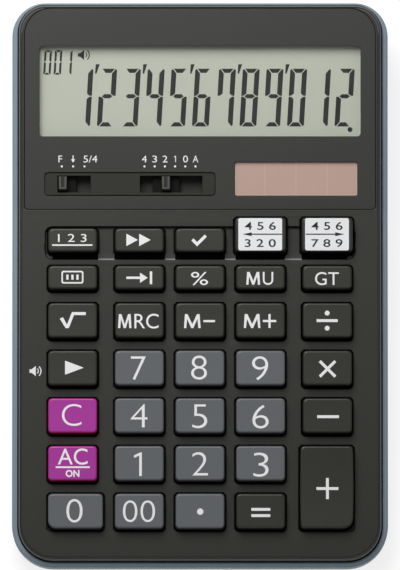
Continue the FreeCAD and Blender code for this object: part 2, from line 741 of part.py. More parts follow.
FRONT_BOSSES = mirrored(HALF_WIDTH - FRONT_BOSS_SIDE_INSET, -HALF_LENGTH + FRONT_BOSS_END_INSET)
REAR_BOSSES = mirrored(HALF_WIDTH - REAR_BOSS_SIDE_INSET, HALF_LENGTH - REAR_BOSS_END_INSET)
BOSSES = [(x, y, face_height(y) - FRONT_BOSS_DEPTH) for x, y in FRONT_BOSSES]
BOSSES += [(x, y, face_height(y) - REAR_BOSS_DEPTH) for x, y in REAR_BOSSES]
FOOT_X = HALF_WIDTH - FOOT_SIDE_INSET
FOOT_Y = HALF_LENGTH - FOOT_END_INSET
FEET = mirrored(FOOT_X, -FOOT_Y) + mirrored(FOOT_X, FOOT_Y)
BOARD_POSTS = mirrored(BOARD_POST_X, BOARD_POST_FRONT_V) + mirrored(BOARD_POST_X, BOARD_POST_REAR_V)

# Battery box and cover, seen from above
CELL_BOX_HALF = CELL_R + CELL_PLAY
CELL_FOOT_Z = FOOT_STANDOFF + COVER_T
CELL_TOP_Z = CELL_FOOT_Z + CELL_T
BOX_TOP_Z = CELL_TOP_Z + BOX_RISE
COVER_X0 = CELL_X - CELL_BOX_HALF - COVER_MARGIN
COVER_X1 = CELL_X + COVER_SCREW_DISTANCE + COVER_PAD_R + COVER_MARGIN / 2
COVER_Y0 = CELL_Y - CELL_BOX_HALF - COVER_MARGIN / 2
COVER_Y1 = CELL_Y + CELL_BOX_HALF + COVER_MARGIN / 2
COVER_SCREW_X = CELL_X + COVER_SCREW_DISTANCE


def make_lower_case():
    body = case_outline(0, 0, 0, FOOT_STANDOFF, SKY_Z)
    body = body.cut(above_face(-RIM_DROP))
    bottom = [e for e in body.Edges if max(v.Point.z for v in e.Vertexes) < FLOOR_Z]
    body = body.makeChamfer(LOWER_EDGE, bottom)
    body = body.makeChamfer(RIM_EDGE, rim_edges(body, RIM_DROP, 0, 0, 0))
    cavity = faceted_outline(LOWER_WALL, LOWER_WALL, LOWER_WALL, FLOOR_Z, SKY_Z)
    rebate = case_outline(RIM_SIDE, RIM_FRONT, RIM_REAR, FLOOR_Z, SKY_Z)
    rebate = rebate.common(above_face(-SKIRT_DEPTH - REBATE_PLAY))
    body = body.cut([cavity, rebate])

    # Everything that stands on the floor starts inside it
    root_z = FOOT_STANDOFF + FLOOR_T / 2

    # Supports under the board: two long ribs and two cross ribs
    board_ceiling = on_keyboard(box(-REACH, -REACH, BOARD_FOOT_N - RIB_PLAY, REACH, REACH, SKY_Z))
    front = keyboard_point(0, BOARD_FRONT_V, 0).y + LOWER_WALL
    rear = keyboard_point(0, BOARD_REAR_V, 0).y - LOWER_WALL
    side = BOARD_HALF_WIDTH - LOWER_WALL
    ribs = []
    for x in (-BOARD_RIB_X, BOARD_RIB_X):
        ribs.append(box(x - RIB_T / 2, front, root_z, x + RIB_T / 2, rear, SKY_Z / 2))
    for y in (FRONT_RIB_DISTANCE - HALF_LENGTH, REAR_RIB_DISTANCE - HALF_LENGTH):
        ribs.append(box(-side, y - RIB_T / 2, root_z, side, y + RIB_T / 2, SKY_Z / 2))
    ribs = [rib.cut(board_ceiling) for rib in ribs]

    # Supports under the display holder
    holder_foot = HOLDER_SEAT_M - HOLDER_BACK_T - RIB_PLAY
    holder_ceiling = on_display(box(-REACH, -REACH, holder_foot, REACH, REACH, SKY_Z))
    y0 = display_point(0, WINDOW_FRONT_S, 0).y
    y1 = display_point(0, WINDOW_REAR_S, 0).y
    for x in (HOLDER_RIB_INSET - GLASS_X, GLASS_X - HOLDER_RIB_INSET):
        rib = box(x - RIB_T / 2, y0, root_z, x + RIB_T / 2, y1, SKY_Z / 2)
        ribs.append(rib.cut(holder_ceiling))

    # Tubes that the case screws go through
    tubes = [rod(x, y, BOSS_R, root_z, top) for x, y, top in BOSSES]

    # Battery box and the boss of its cover screw
    h = CELL_BOX_HALF + BOX_WALL
    cell_box = box(CELL_X - h, CELL_Y - h, root_z, CELL_X + h, CELL_Y + h, BOX_TOP_Z)
    screw_tip = FOOT_STANDOFF + COVER_HEAD_DEPTH + CASE_SCREW_LENGTH
    cover_boss = rod(COVER_SCREW_X, CELL_Y, COVER_BOSS_R, root_z, screw_tip + BOX_WALL)

    # Ring that the buzzer is glued on
    seat = rod(BUZZER_X, BUZZER_Y, BUZZER_R, root_z, FLOOR_Z + BUZZER_SEAT_HEIGHT)
    body = fused(body, cell_box, cover_boss, seat, *(ribs + tubes))

    holes = [rod(BUZZER_X, BUZZER_Y, BUZZER_R - BUZZER_SEAT_WIDTH, FLOOR_Z, SKY_Z / 2)]
    for x, y, top in BOSSES:
        holes.append(rod(x, y, HEAD_WELL_R, 0, top - BOSS_SHOULDER))
        holes.append(rod(x, y, CASE_SCREW_HOLE_R, 0, SKY_Z / 2))
    for x, y in FEET:
        holes.append(rod(x, y, FOOT_R + FOOT_PLAY, 0, FOOT_STANDOFF + FOOT_SEAT))
    g = COVER_PLAY
    holes.append(block(
        COVER_X0 - g, COVER_Y0 - g, COVER_X1 + g, COVER_Y1 + g, COVER_CORNER_R + g,
        0, FOOT_STANDOFF + COVER_T,
    ))
    holes.append(rod(COVER_SCREW_X, CELL_Y, COVER_PAD_R + g, 0, FOOT_STANDOFF + COVER_PAD_T + g))
    holes.append(rod(COVER_SCREW_X, CELL_Y, CASE_SCREW_R, 0, screw_tip + PILOT_HOLE_SPARE))
    h = CELL_BOX_HALF
    holes.append(box(CELL_X - h, CELL_Y - h, 0, CELL_X + h, CELL_Y + h, SKY_Z / 2))
    return body.cut(holes)


def inside_upper(inset):
    """Upright prism inside the outline of the upper case, drawn in by an inset."""
    inset += CASE_GAP
    return faceted_outline(RIM_SIDE + inset, RIM_FRONT + inset, RIM_REAR + inset, 0, SKY_Z)


def make_upper_case(keys):
    side, front, rear = RIM_SIDE + CASE_GAP, RIM_FRONT + CASE_GAP, RIM_REAR + CASE_GAP
    body = case_outline(side, front, rear, 0, SKY_Z)
    body = body.common(above_face(-SKIRT_DEPTH)).cut(above_face(0))
    body = body.makeChamfer(UPPER_EDGE, rim_edges(body, 0, side, front, rear))

    # Fine groove round the face
    groove = inside_upper(GROOVE_INSET).cut(inside_upper(GROOVE_INSET + GROOVE_WIDTH))
    groove = groove.common(above_face(-GROOVE_DEPTH))

    # Inside: the face is thicker under the display panel
    inside = inside_upper(SKIRT_T).cut(above_face(-PLATE_T))
    step = display_point(0, PANEL_FRONT_S, 0).y
    thick = above_face(-DISPLAY_PLATE_T).common(box(-REACH, step, 0, REACH, REACH, 2 * SKY_Z))
    inside = inside.cut(thick)
    body = body.cut([groove, inside])

    # Posts for the case screws, upright, and for the board screws, square to the face
    parts = []
    for x, y, top in BOSSES:
        post = rod(x, y, POST_R, top, SKY_Z)
        parts.append(post.cut(above_face(-PLATE_T / 2)))
    for x, v in BOARD_POSTS:
        parts.append(on_keyboard(rod(x, v, BOARD_POST_R, BOARD_TOP_N, -PLATE_T / 2)))

    # Rails that guide the sliders, under the switch strip
    low = -DISPLAY_PLATE_T - RAIL_DEPTH
    for sign in (-1, 1):
        middle = SLOT_S + sign * (SLIDER_WIDTH / 2 + RAIL_PLAY + RAIL_T / 2)
        parts.append(on_display(box(
            STRIP_LEFT_X, middle - RAIL_T / 2, low,
            STRIP_RIGHT_X, middle + RAIL_T / 2, -DISPLAY_PLATE_T / 2,
        )))
    body = fused(body, *parts)

    cuts = [on_keyboard(key_well(x, v, w, l)) for name, x, v, w, l, h, radii in keys]
    cuts.append(on_keyboard(block(
        -TROUGH_HALF_WIDTH, TROUGH_FRONT_V, TROUGH_HALF_WIDTH, TROUGH_REAR_V,
        TROUGH_CORNER_R, -TROUGH_DEPTH, PLATE_T,
    )))
    g = PANEL_SEAM
    front_r, rear_r = PANEL_FRONT_CORNER_R + g, PANEL_REAR_CORNER_R + g
    recess = rounded_wire(
        -PANEL_HALF_WIDTH - g, PANEL_FRONT_S - g, PANEL_HALF_WIDTH + g, PANEL_REAR_S + g,
        (front_r, front_r, rear_r, rear_r), -PANEL_T,
    )
    cuts.append(on_display(prism(recess, 3 * PANEL_T)))
    reach = PANE_OVERLAP + PANE_PLAY
    cuts.append(on_display(box(
        -WINDOW_HALF_WIDTH - reach, WINDOW_FRONT_S - reach, PANE_FOOT_M,
        WINDOW_HALF_WIDTH + reach, WINDOW_REAR_S + reach, 0,
    )))
    reach = SHELF_OVERLAP
    cuts.append(on_display(box(
        -WINDOW_HALF_WIDTH - reach, WINDOW_FRONT_S - reach, -2 * DISPLAY_PLATE_T,
        WINDOW_HALF_WIDTH + reach, WINDOW_REAR_S + reach, 0,
    )))
    reach = SOLAR_OVERLAP + PANE_PLAY
    cuts.append(on_display(box(
        SOLAR_LEFT_X - reach, SOLAR_FRONT_S - reach, SOLAR_FOOT_M,
        SOLAR_RIGHT_X + reach, SOLAR_REAR_S + reach, 0,
    )))
    for x in solar_spring_places():
        cuts.append(on_display(box(
            x - SOLAR_VENT_WIDTH / 2, SOLAR_MIDDLE_S - SOLAR_VENT_LENGTH / 2, -2 * DISPLAY_PLATE_T,
            x + SOLAR_VENT_WIDTH / 2, SOLAR_MIDDLE_S + SOLAR_VENT_LENGTH / 2, 0,
        )))
    for x0, x1 in switch_slots():
        cuts.append(on_display(box(
            x0, SLOT_S - SLOT_WIDTH / 2, -2 * DISPLAY_PLATE_T, x1, SLOT_S + SLOT_WIDTH / 2, 0,
        )))
    for x, y, top in BOSSES:
        depth = CASE_SCREW_LENGTH - BOSS_SHOULDER + PILOT_HOLE_SPARE
        cuts.append(rod(x, y, CASE_SCREW_R, top - BOSS_SHOULDER, top + depth))
    for x, v in BOARD_POSTS:
        depth = BOARD_SCREW_LENGTH - BOARD_T + PILOT_HOLE_SPARE
        cuts.append(on_keyboard(rod(x, v, BOARD_SCREW_R, BOARD_FOOT_N, BOARD_TOP_N + depth)))
    return body.cut(cuts)


def solar_spring_places():
    """The two contacts of the solar cell, near its ends."""
    return [SOLAR_LEFT_X + SOLAR_VENT_WIDTH, SOLAR_RIGHT_X - SOLAR_VENT_WIDTH]


def switch_slots():
    """Left and right end of both switch slots."""
    play = KNOB_WIDTH / 2 + SLOT_END_PLAY
    return [(stops[0] - play, stops[-1] + play) for stops in (ROUNDING_STOPS, DECIMAL_STOPS)]


def make_display_panel():
    front_r, rear_r = PANEL_FRONT_CORNER_R, PANEL_REAR_CORNER_R
    panel = prism(rounded_wire(
        -PANEL_HALF_WIDTH, PANEL_FRONT_S, PANEL_HALF_WIDTH, PANEL_REAR_S,
        (front_r, front_r, rear_r, rear_r), -PANEL_T,
    ), PANEL_T)
    windows = [
        (-WINDOW_HALF_WIDTH, WINDOW_FRONT_S, WINDOW_HALF_WIDTH, WINDOW_REAR_S, WINDOW_CORNER_R),
        (SOLAR_LEFT_X, SOLAR_FRONT_S, SOLAR_RIGHT_X, SOLAR_REAR_S, SOLAR_CORNER_R),
        (STRIP_LEFT_X, STRIP_FRONT_S, STRIP_RIGHT_X, STRIP_REAR_S, STRIP_CORNER_R),
    ]
    return on_display(panel.cut([block(*window, -2 * PANEL_T, PANEL_T) for window in windows]))


def make_display_window():
    r = PANE_OVERLAP
    return on_display(box(
        -WINDOW_HALF_WIDTH - r, WINDOW_FRONT_S - r, PANE_FOOT_M,
        WINDOW_HALF_WIDTH + r, WINDOW_REAR_S + r, PANE_TOP_M,
    ))


# Outline of the display glass, and of the wider rear glass that carries the contacts
GLASS_X = WINDOW_HALF_WIDTH + GLASS_OVERLAP
GLASS_S0 = WINDOW_FRONT_S - GLASS_OVERLAP
GLASS_S1 = WINDOW_REAR_S + GLASS_OVERLAP
LEDGE_S0 = GLASS_S0 - CONTACT_LEDGE
GLASS_FRONT_M = GLASS_TOP_M - FILM_T
GLASS_MIDDLE_M = GLASS_FRONT_M - GLASS_T
GLASS_REAR_M = GLASS_MIDDLE_M - GLASS_T


def make_lcd_glass():
    front = box(-GLASS_X, GLASS_S0, GLASS_MIDDLE_M, GLASS_X, GLASS_S1, GLASS_FRONT_M)
    rear = box(-GLASS_X, LEDGE_S0, GLASS_REAR_M, GLASS_X, GLASS_S1, GLASS_MIDDLE_M)
    return on_display(Part.makeCompound([front, rear]))


def make_lcd_polarisers():
    inset = FILM_T
    x, s0, s1 = GLASS_X - inset, GLASS_S0 + inset, GLASS_S1 - inset
    front = box(-x, s0, GLASS_FRONT_M, x, s1, GLASS_TOP_M)
    rear = box(-x, s0, HOLDER_SEAT_M, x, s1, GLASS_REAR_M)
    return on_display(Part.makeCompound([front, rear]))


def make_lcd_holder():
    g = HOLDER_PLAY
    w = HOLDER_WALL
    foot = HOLDER_SEAT_M - HOLDER_BACK_T
    frame = box(-GLASS_X - g - w, LEDGE_S0 - g, foot, GLASS_X + g + w, GLASS_S1 + g + w, GLASS_TOP_M)
    pocket = box(-GLASS_X - g, LEDGE_S0 - 2 * w, HOLDER_SEAT_M, GLASS_X + g, GLASS_S1 + g, 0)
    b = HOLDER_WINDOW_BORDER
    window = box(-GLASS_X + b, GLASS_S0 + b, 2 * foot, GLASS_X - b, GLASS_S1 - b, 0)
    return on_display(frame.cut([pocket, window]))


def make_lcd_ribbon():
    """Film from the contact ledge of the rear glass down to the rear edge of the board."""
    t = RIBBON_T
    points = [
        display_point(0, GLASS_S0 - t, GLASS_MIDDLE_M + t / 2),
        display_point(0, LEDGE_S0 - RIBBON_LAP, GLASS_MIDDLE_M + t / 2),
        keyboard_point(0, BOARD_REAR_V - RIBBON_LAP / 2, BOARD_TOP_N + t / 2),
        keyboard_point(0, BOARD_REAR_V - 2 * RIBBON_LAP, BOARD_TOP_N + t / 2),
    ]
    return bent_strip(points, RIBBON_BEND, t, 2 * (GLASS_X - RIBBON_MARGIN))


def make_solar_cell():
    return on_display(box(
        SOLAR_LEFT_X - SOLAR_OVERLAP, SOLAR_FRONT_S - SOLAR_OVERLAP, SOLAR_FOOT_M,
        SOLAR_RIGHT_X + SOLAR_OVERLAP, SOLAR_REAR_S + SOLAR_OVERLAP, -PANEL_T,
    ))


def make_solar_contacts():
    """Two leaf springs, each from the back of the solar cell to the board."""
    t = SOLAR_SPRING_T
    half = SOLAR_VENT_LENGTH / 2 - t
    v = CREASE_V + SOLAR_MIDDLE_S
    springs = []
    for x in solar_spring_places():
        points = [
            keyboard_point(x, v + half, BOARD_TOP_N + t / 2),
            keyboard_point(x, v - half, BOARD_TOP_N + t / 2),
            display_point(x, SOLAR_MIDDLE_S + half / 2, SOLAR_FOOT_M - t / 2),
            display_point(x, SOLAR_MIDDLE_S - half, SOLAR_FOOT_M - t / 2),
        ]
        springs.append(bent_strip(points, SOLAR_SPRING_BEND, t, SOLAR_SPRING_WIDTH))
    return Part.makeCompound(springs)


def make_keypad(keys):
    sheet = box(-SHEET_HALF_WIDTH, SHEET_FRONT_V, BOARD_TOP_N, SHEET_HALF_WIDTH, SHEET_REAR_V, SHEET_TOP_N)
    sheet = fused(sheet, *[dome(k[1], k[2]) for k in keys])
    sheet = sheet.cut([dome_cavity(k[1], k[2]) for k in keys])
    return on_keyboard(sheet).cut([rod(x, y, POST_R + SHEET_BOSS_PLAY, 0, SKY_Z) for x, y in FRONT_BOSSES])


def make_board():
    board = box(-BOARD_HALF_WIDTH, BOARD_FRONT_V, BOARD_FOOT_N, BOARD_HALF_WIDTH, BOARD_REAR_V, BOARD_TOP_N)
    parts = [
        box(x - length / 2, v - width / 2, BOARD_FOOT_N - t, x + length / 2, v + width / 2, BOARD_FOOT_N)
        for x, v, length, width, t in SOLDERED_PARTS
    ]
    board = fused(board, *parts)
    hole_r = BOARD_SCREW_R + BOARD_HOLE_PLAY
    holes = [rod(x, v, hole_r, 2 * BOARD_FOOT_N, 0) for x, v in BOARD_POSTS]
    board = on_keyboard(board.cut(holes))
    return board.cut([rod(x, y, BOSS_R + BOARD_BOSS_PLAY, 0, SKY_Z) for x, y in FRONT_BOSSES])


def make_chip_resin():
    """Flat drop of resin under the board."""
    return on_keyboard(stack([
        polygon(CHIP_X, CHIP_V, CHIP_R - CHIP_T, ROD_SIDES, BOARD_FOOT_N - CHIP_T),
        polygon(CHIP_X, CHIP_V, CHIP_R, ROD_SIDES, BOARD_FOOT_N),
    ]))


def make_board_screws():
    screws = []
    for x, v in BOARD_POSTS:
        head = rod(x, v, BOARD_SCREW_HEAD_R, BOARD_FOOT_N - BOARD_SCREW_HEAD_T, BOARD_FOOT_N)
        shank = rod(x, v, BOARD_SCREW_R, BOARD_FOOT_N, BOARD_FOOT_N + BOARD_SCREW_LENGTH)
        screws.append(on_keyboard(fused(head, shank)))
    return Part.makeCompound(screws)


def make_case_screws():
    screws = [case_screw(x, y, top - BOSS_SHOULDER) for x, y, top in BOSSES]
    screws.append(case_screw(COVER_SCREW_X, CELL_Y, FOOT_STANDOFF + COVER_HEAD_DEPTH))
    return Part.makeCompound(screws)


def make_knob(x):
    """Slide knob: a grooved top, a neck through the slot and the captive slider plate."""
    half = KNOB_WIDTH / 2
    rear = SLOT_S + SLOT_WIDTH / 2 - KNOB_SIDE_PLAY
    front = SLOT_S - SLOT_WIDTH / 2 + KNOB_SIDE_PLAY
    top_front = rear - KNOB_LENGTH
    side = [
        V(x - half, front, -PANEL_T), V(x - half, rear, -PANEL_T),
        V(x - half, rear, KNOB_HEIGHT), V(x - half, top_front, KNOB_HEIGHT),
    ]
    top = Part.Face(Part.makePolygon(side + side[:1])).extrude(V(KNOB_WIDTH, 0, 0))
    neck = box(x - half, front, SLIDER_TOP_M, x + half, rear, -PANEL_T)
    slider = box(
        x - SLIDER_LENGTH / 2, SLOT_S - SLIDER_WIDTH / 2, SLIDER_FOOT_M,
        x + SLIDER_LENGTH / 2, SLOT_S + SLIDER_WIDTH / 2, SLIDER_TOP_M,
    )
    knob = fused(top, neck, slider)
    edges = [e for e in knob.Edges if min(v.Point.z for v in e.Vertexes) > KNOB_HEIGHT - KNOB_EDGE]
    knob = knob.makeChamfer(KNOB_EDGE, edges)
    groove = box(
        x - KNOB_GROOVE_WIDTH / 2, top_front + KNOB_FRONT_WALL, KNOB_HEIGHT - KNOB_GROOVE_DEPTH,
        x + KNOB_GROOVE_WIDTH / 2, rear + KNOB_LENGTH, KNOB_HEIGHT + KNOB_GROOVE_DEPTH,
    )
    return on_display(knob.cut(groove))


def make_wiper(x):
    """Spring bow under a slider, its two ends just over the board."""
    t = WIPER_T
    turn = math.radians(DISPLAY_TILT - KEYBOARD_TILT)
    board_m = (BOARD_TOP_N - SLOT_S * math.sin(turn)) / math.cos(turn)
    top = SLIDER_FOOT_M - t / 2
    tip = board_m + WIPER_WIDTH / 2 * math.tan(turn) + WIPER_PLAY + t / 2
    points = [
        V(x - WIPER_REACH, SLOT_S, tip),
        V(x - WIPER_FLAT, SLOT_S, top),
        V(x + WIPER_FLAT, SLOT_S, top),
        V(x + WIPER_REACH, SLOT_S, tip),
    ]
    return on_display(bent_strip(points, t, t, WIPER_WIDTH))


def make_feet():
    return Part.makeCompound([rod(x, y, FOOT_R, 0, FOOT_STANDOFF + FOOT_SEAT) for x, y in FEET])


def make_battery():
    """Button cell with its smaller negative cap upwards."""
    can = rod(CELL_X, CELL_Y, CELL_R, CELL_FOOT_Z, CELL_TOP_Z - CELL_CAP_T)
    return fused(can, rod(CELL_X, CELL_Y, CELL_CAP_R, CELL_TOP_Z - CELL_CAP_T, CELL_TOP_Z))


def make_contact_negative():
    """Bridge over the battery box, dipped to touch the cell's cap."""
    t = CONTACT_T
    end = CELL_BOX_HALF + BOX_WALL / 2
    rest = CONTACT_DIP_HALF + CONTACT_SLOPE
    points = [
        V(CELL_X - end, CELL_Y, BOX_TOP_Z + t / 2),
        V(CELL_X - rest, CELL_Y, BOX_TOP_Z + t / 2),
        V(CELL_X - CONTACT_DIP_HALF, CELL_Y, CELL_TOP_Z + t / 2),
        V(CELL_X + CONTACT_DIP_HALF, CELL_Y, CELL_TOP_Z + t / 2),
        V(CELL_X + rest, CELL_Y, BOX_TOP_Z + t / 2),
        V(CELL_X + end, CELL_Y, BOX_TOP_Z + t / 2),
    ]
    return bent_strip(points, CONTACT_BEND, t, CONTACT_WIDTH)


def make_contact_positive():
    """Blade at the front wall of the battery box, hooked over its top."""
    t = CONTACT_T
    y = CELL_Y - CELL_BOX_HALF + t / 2
    z = BOX_TOP_Z + HOOK_RISE + t / 2
    points = [V(CELL_X, y, CELL_FOOT_Z + BOX_RISE), V(CELL_X, y, z), V(CELL_X, y - BOX_WALL - t, z)]
    return bent_strip(points, CONTACT_T, t, CONTACT_WIDTH)


def make_battery_cover():
    plate = block(COVER_X0, COVER_Y0, COVER_X1, COVER_Y1, COVER_CORNER_R, FOOT_STANDOFF, CELL_FOOT_Z)
    pad = rod(COVER_SCREW_X, CELL_Y, COVER_PAD_R, FOOT_STANDOFF, FOOT_STANDOFF + COVER_PAD_T)
    return fused(plate, pad).cut([
        rod(COVER_SCREW_X, CELL_Y, HEAD_WELL_R, 0, FOOT_STANDOFF + COVER_HEAD_DEPTH),
        rod(COVER_SCREW_X, CELL_Y, CASE_SCREW_HOLE_R, 0, SKY_Z),
    ])


def make_buzzer():
    seat = FLOOR_Z + BUZZER_SEAT_HEIGHT
    rear = seat + BUZZER_PLATE_T
    plate = rod(BUZZER_X, BUZZER_Y, BUZZER_R, seat, rear)
    ceramic = rod(BUZZER_X, BUZZER_Y, BUZZER_CERAMIC_R, rear, rear + BUZZER_CERAMIC_T)
    return Part.makeCompound([plate, ceramic])


def make_lead(x, start_y, start_z, run):
    """Flat lead that rises from a height over the floor to the underside of the board."""
    t = LEAD_T
    z = start_z + t / 2
    end = keyboard_point(x, BOARD_REAR_V - run, BOARD_FOOT_N - t / 2)
    edge = keyboard_point(x, BOARD_REAR_V + LEAD_BEND, BOARD_FOOT_N - t / 2)
    points = [V(x, start_y, z), V(x, edge.y + LEAD_REACH, z), edge, end]
    return bent_strip(points, LEAD_BEND, t, LEAD_WIDTH)


def make_leads():
    buzzer_top = FLOOR_Z + BUZZER_SEAT_HEIGHT + BUZZER_PLATE_T + BUZZER_CERAMIC_T
    box_front = CELL_Y - CELL_BOX_HALF - BOX_WALL
    return Part.makeCompound([
        make_lead(BUZZER_X, BUZZER_Y, buzzer_top, BUZZER_LEAD_RUN),
        make_lead(CELL_X, box_front - BATTERY_LEAD_START, BOX_TOP_Z - BATTERY_LEAD_DROP, BATTERY_LEAD_RUN),
    ])


def main():
    os.makedirs("parts", exist_ok=True)
    keys = key_list()
    nodes = {
        "lower_case": make_lower_case(),
        "upper_case": make_upper_case(keys),
        "display_panel": make_display_panel(),
        "display_window": make_display_window(),
        "lcd_glass": make_lcd_glass(),
        "lcd_polarisers": make_lcd_polarisers(),
        "lcd_holder": make_lcd_holder(),
        "lcd_ribbon": make_lcd_ribbon(),
        "solar_cell": make_solar_cell(),
        "solar_contacts": make_solar_contacts(),
        "keypad_rubber": make_keypad(keys),
        "circuit_board": make_board(),
        "chip_resin": make_chip_resin(),
        "board_screws": make_board_screws(),
        "case_screws": make_case_screws(),
        "rubber_feet": make_feet(),
        "battery": make_battery(),
        "battery_contact_negative": make_contact_negative(),
        "battery_contact_positive": make_contact_positive(),
        "battery_cover": make_battery_cover(),
        "piezo_buzzer": make_buzzer(),
        "leads": make_leads(),
    }
    for name, x in (("rounding", ROUNDING_STOPS[0]), ("decimal", DECIMAL_STOPS[DECIMAL_REST_PLACES])):
        nodes[name + "_knob"] = make_knob(x)
        nodes[name + "_wiper"] = make_wiper(x)
    for name, x, v, width, length, height, radii in keys:
        cap = key_cap(width, length, height, radii)
        cap.translate(V(x, v, 0))
        nodes[name] = on_keyboard(cap)
    for name, shape in nodes.items():
        solids = len(shape.Solids)
        print(name, "solids", solids, "valid", shape.isValid(), "volume %.1f" % shape.Volume)
        shape.exportStep("parts/%s.step" % name)


main()
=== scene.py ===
import bpy
import json
import math
from mathutils import Matrix, Vector
from mathutils.bvhtree import BVHTree


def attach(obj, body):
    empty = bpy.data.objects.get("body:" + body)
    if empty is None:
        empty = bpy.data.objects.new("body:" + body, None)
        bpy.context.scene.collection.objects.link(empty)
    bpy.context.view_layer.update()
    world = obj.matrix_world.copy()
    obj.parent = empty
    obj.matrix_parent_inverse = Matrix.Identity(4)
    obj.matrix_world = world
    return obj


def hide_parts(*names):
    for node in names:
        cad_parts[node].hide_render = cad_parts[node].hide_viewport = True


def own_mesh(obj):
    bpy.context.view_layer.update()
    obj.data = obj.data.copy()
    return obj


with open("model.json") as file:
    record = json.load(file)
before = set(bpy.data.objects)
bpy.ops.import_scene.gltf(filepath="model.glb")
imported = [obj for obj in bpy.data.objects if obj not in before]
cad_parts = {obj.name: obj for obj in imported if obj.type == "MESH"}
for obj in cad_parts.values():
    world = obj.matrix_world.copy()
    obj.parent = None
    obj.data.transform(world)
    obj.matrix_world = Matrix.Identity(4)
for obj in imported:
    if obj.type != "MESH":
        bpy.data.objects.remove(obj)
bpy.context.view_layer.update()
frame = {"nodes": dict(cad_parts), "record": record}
nodes = frame["nodes"]

# Signs are drawn flat in millimetres and then laid on the object, which is in metres.
MM = 0.001

# The two tilted planes of the face: the keyboard plane through the middle of the case, and the
# display plane that starts at the crease
KEYBOARD_TILT = math.radians(5.0)
DISPLAY_TILT = math.radians(8.0)
FRONT_HEIGHT = 0.0136
HALF_LENGTH = 0.09475
FACE_Z = FRONT_HEIGHT + HALF_LENGTH * math.tan(KEYBOARD_TILT)
CREASE_V = 24.512

# Middles of the key tops in the keyboard plane
COLUMNS = (-42.87, -20.41, 0.0, 20.41, 42.87)
ROWS = (-76.40, -60.34, -44.28, -28.22, -12.16)
SMALL_ROW = 2.29
TROUGH_ROW = 14.87
LABEL_ROW = 16.72
ZERO_KEY_X = -41.87

# Trough: half width, front and rear side in the keyboard plane, and the gaps between its keys
TROUGH = (52.3, 8.43, 19.51)
TROUGH_CORNER_R = 2.5
TROUGH_GAPS = ((-34.4, -28.9), (-11.8, -8.4), (8.4, 12.0), (28.6, 34.3))
# Width of the painted shadow round the trough, and how far it reaches in front of each key
TROUGH_SHADOW_WIDTH = 0.5
TROUGH_SHADOW_REACH = 2.2

# Border of the charcoal face, seen from above
FACE_OUTLINE = (-61.15, -92.6, 61.15, 93.5)
FACE_CORNER_R = 11.75
# How far in from the border of the face the painted highlight on its chamfer and the lighter painted tone
# over the groove beside it reach
FACE_HIGHLIGHT_WIDTH = 0.6
GROOVE_LIGHT_END = 1.7
PLUS_KEY = (42.67, -68.37)
KEY_TOP = 3.8
LABEL_KEY_TOP = 4.1

# Printed signs: how far they stand out, how deep they reach in, and the bands they are cut into
PRINT_LIFT = 0.02
LABEL_LIFT = 0.06
LABEL_PRINT_LIFT = 0.08
PRINT_BAND = 0.9
STROKE = 0.95
LABEL_SIZE = (14.75, 10.9)
LABEL_CORNER_R = 0.7

# Corners of a mesh that are closer together than this are one corner, and a sign is laid on its
# carrier from this far above it, in metres
MERGE_DISTANCE = 0.001
LAYING_HEIGHT = 0.02

# Windows of the display panel in the display plane: left, front, right and rear side
DISPLAY_WINDOW = (-54.3, 25.45, 54.3, 56.05)
SOLAR_WINDOW = (11.55, 5.25, 53.3, 16.9)
STRIP_WINDOW = (-52.55, 5.4, 5.3, 13.45)
SWITCH_SLOTS = ((-48.07, 6.625, -36.93, 12.225), (-20.27, 6.625, 0.77, 12.225))
SLOT_MARGIN = 0.08
SLOT_CORNER_R = 0.25
STRIP_SEAM = 0.4
STRIP_CORNER_R = 0.9
STRIP_TOP = -0.12
STRIP_FOOT = -0.9
STRIP_EDGE = 0.08

# Case screws: place and lower side of the head
CASE_SCREWS = (
    (-55.6, -85.55, 3.505), (55.6, -85.55, 3.505), (-54.6, 87.95, 16.505), (54.6, 87.95, 16.505),
    (-21.8, 61.946, 1.4),
)
HEAD_HEIGHT = 1.5
SCREW_LENGTH = 6.0
CORE_R = 0.8
ROOT_R = 0.72
THREAD_R = 0.95
THREAD_START = 0.3
THREAD_PITCH = 0.5
THREAD_TURNS = 10
RECESS_WIDTH = 2.7
RECESS_STROKE = 0.72
RECESS_TAPER = 0.6
RECESS_DEPTH = 1.0

# Liquid crystal digits
DIGIT_LEFT = -43.05
DIGIT_FOOT = 28.79
DIGIT_PITCH = 8.028
DIGIT_WIDTH = 6.03
DIGIT_HEIGHT = 19.83
DIGIT_SIDE = 2.0
DIGIT_BAR = 1.72
DIGIT_SLANT = 0.06
DIGIT_GAP = 0.3
DIGIT_WAIST = 0.523
CORNER_CUT = 0.3
COUNT_LEFT = -53.1
COUNT_FOOT = 46.35
COUNT_PITCH = 3.5
COUNT_WIDTH = 2.7
COUNT_HEIGHT = 8.45
COUNT_SIDE = 0.92
COUNT_BAR = 0.85
COUNT_GAP = 0.2
DECIMAL_POINT = (50.7, 27.9, 0.85)
THOUSANDS_MARK = ((0.0, 0.0), (0.5, 0.0), (1.55, 3.2), (0.2, 3.2))
MARK_OFFSET = (7.6, 18.0)
MARKED_DIGITS = (0, 2, 4, 6, 8)
DISPLAY_SPEAKER = (-39.2, 53.1)

# Signs beside the slide switches: height of the dots and of the signs, first dot, pitch and number
# of the dots, and the signs with their place and size
SWITCH_DOT_Y = 15.41
SWITCH_DOT_R = 0.36
SWITCH_SIGN_Y = 17.9
SWITCH_DOTS = ((-46.65, 3.83, 3), (-18.75, 3.447, 6))
SWITCH_SIGNS = (
    ("F", -47.15, 1.25, 2.3), ("5/4", -37.0, 4.7, 2.35), ("4", -18.8, 1.7, 2.3), ("3", -15.3, 1.6, 2.3),
    ("2", -11.8, 1.65, 2.3), ("0", -4.9, 1.65, 2.3), ("A", -1.5, 1.9, 2.3),
)
SWITCH_ONE_X = -8.5
SWITCH_ONE_SCALE = 0.27
CUT_ARROW = (-42.84, 19.1)
FACE_SPEAKER = (-55.4, -29.2)
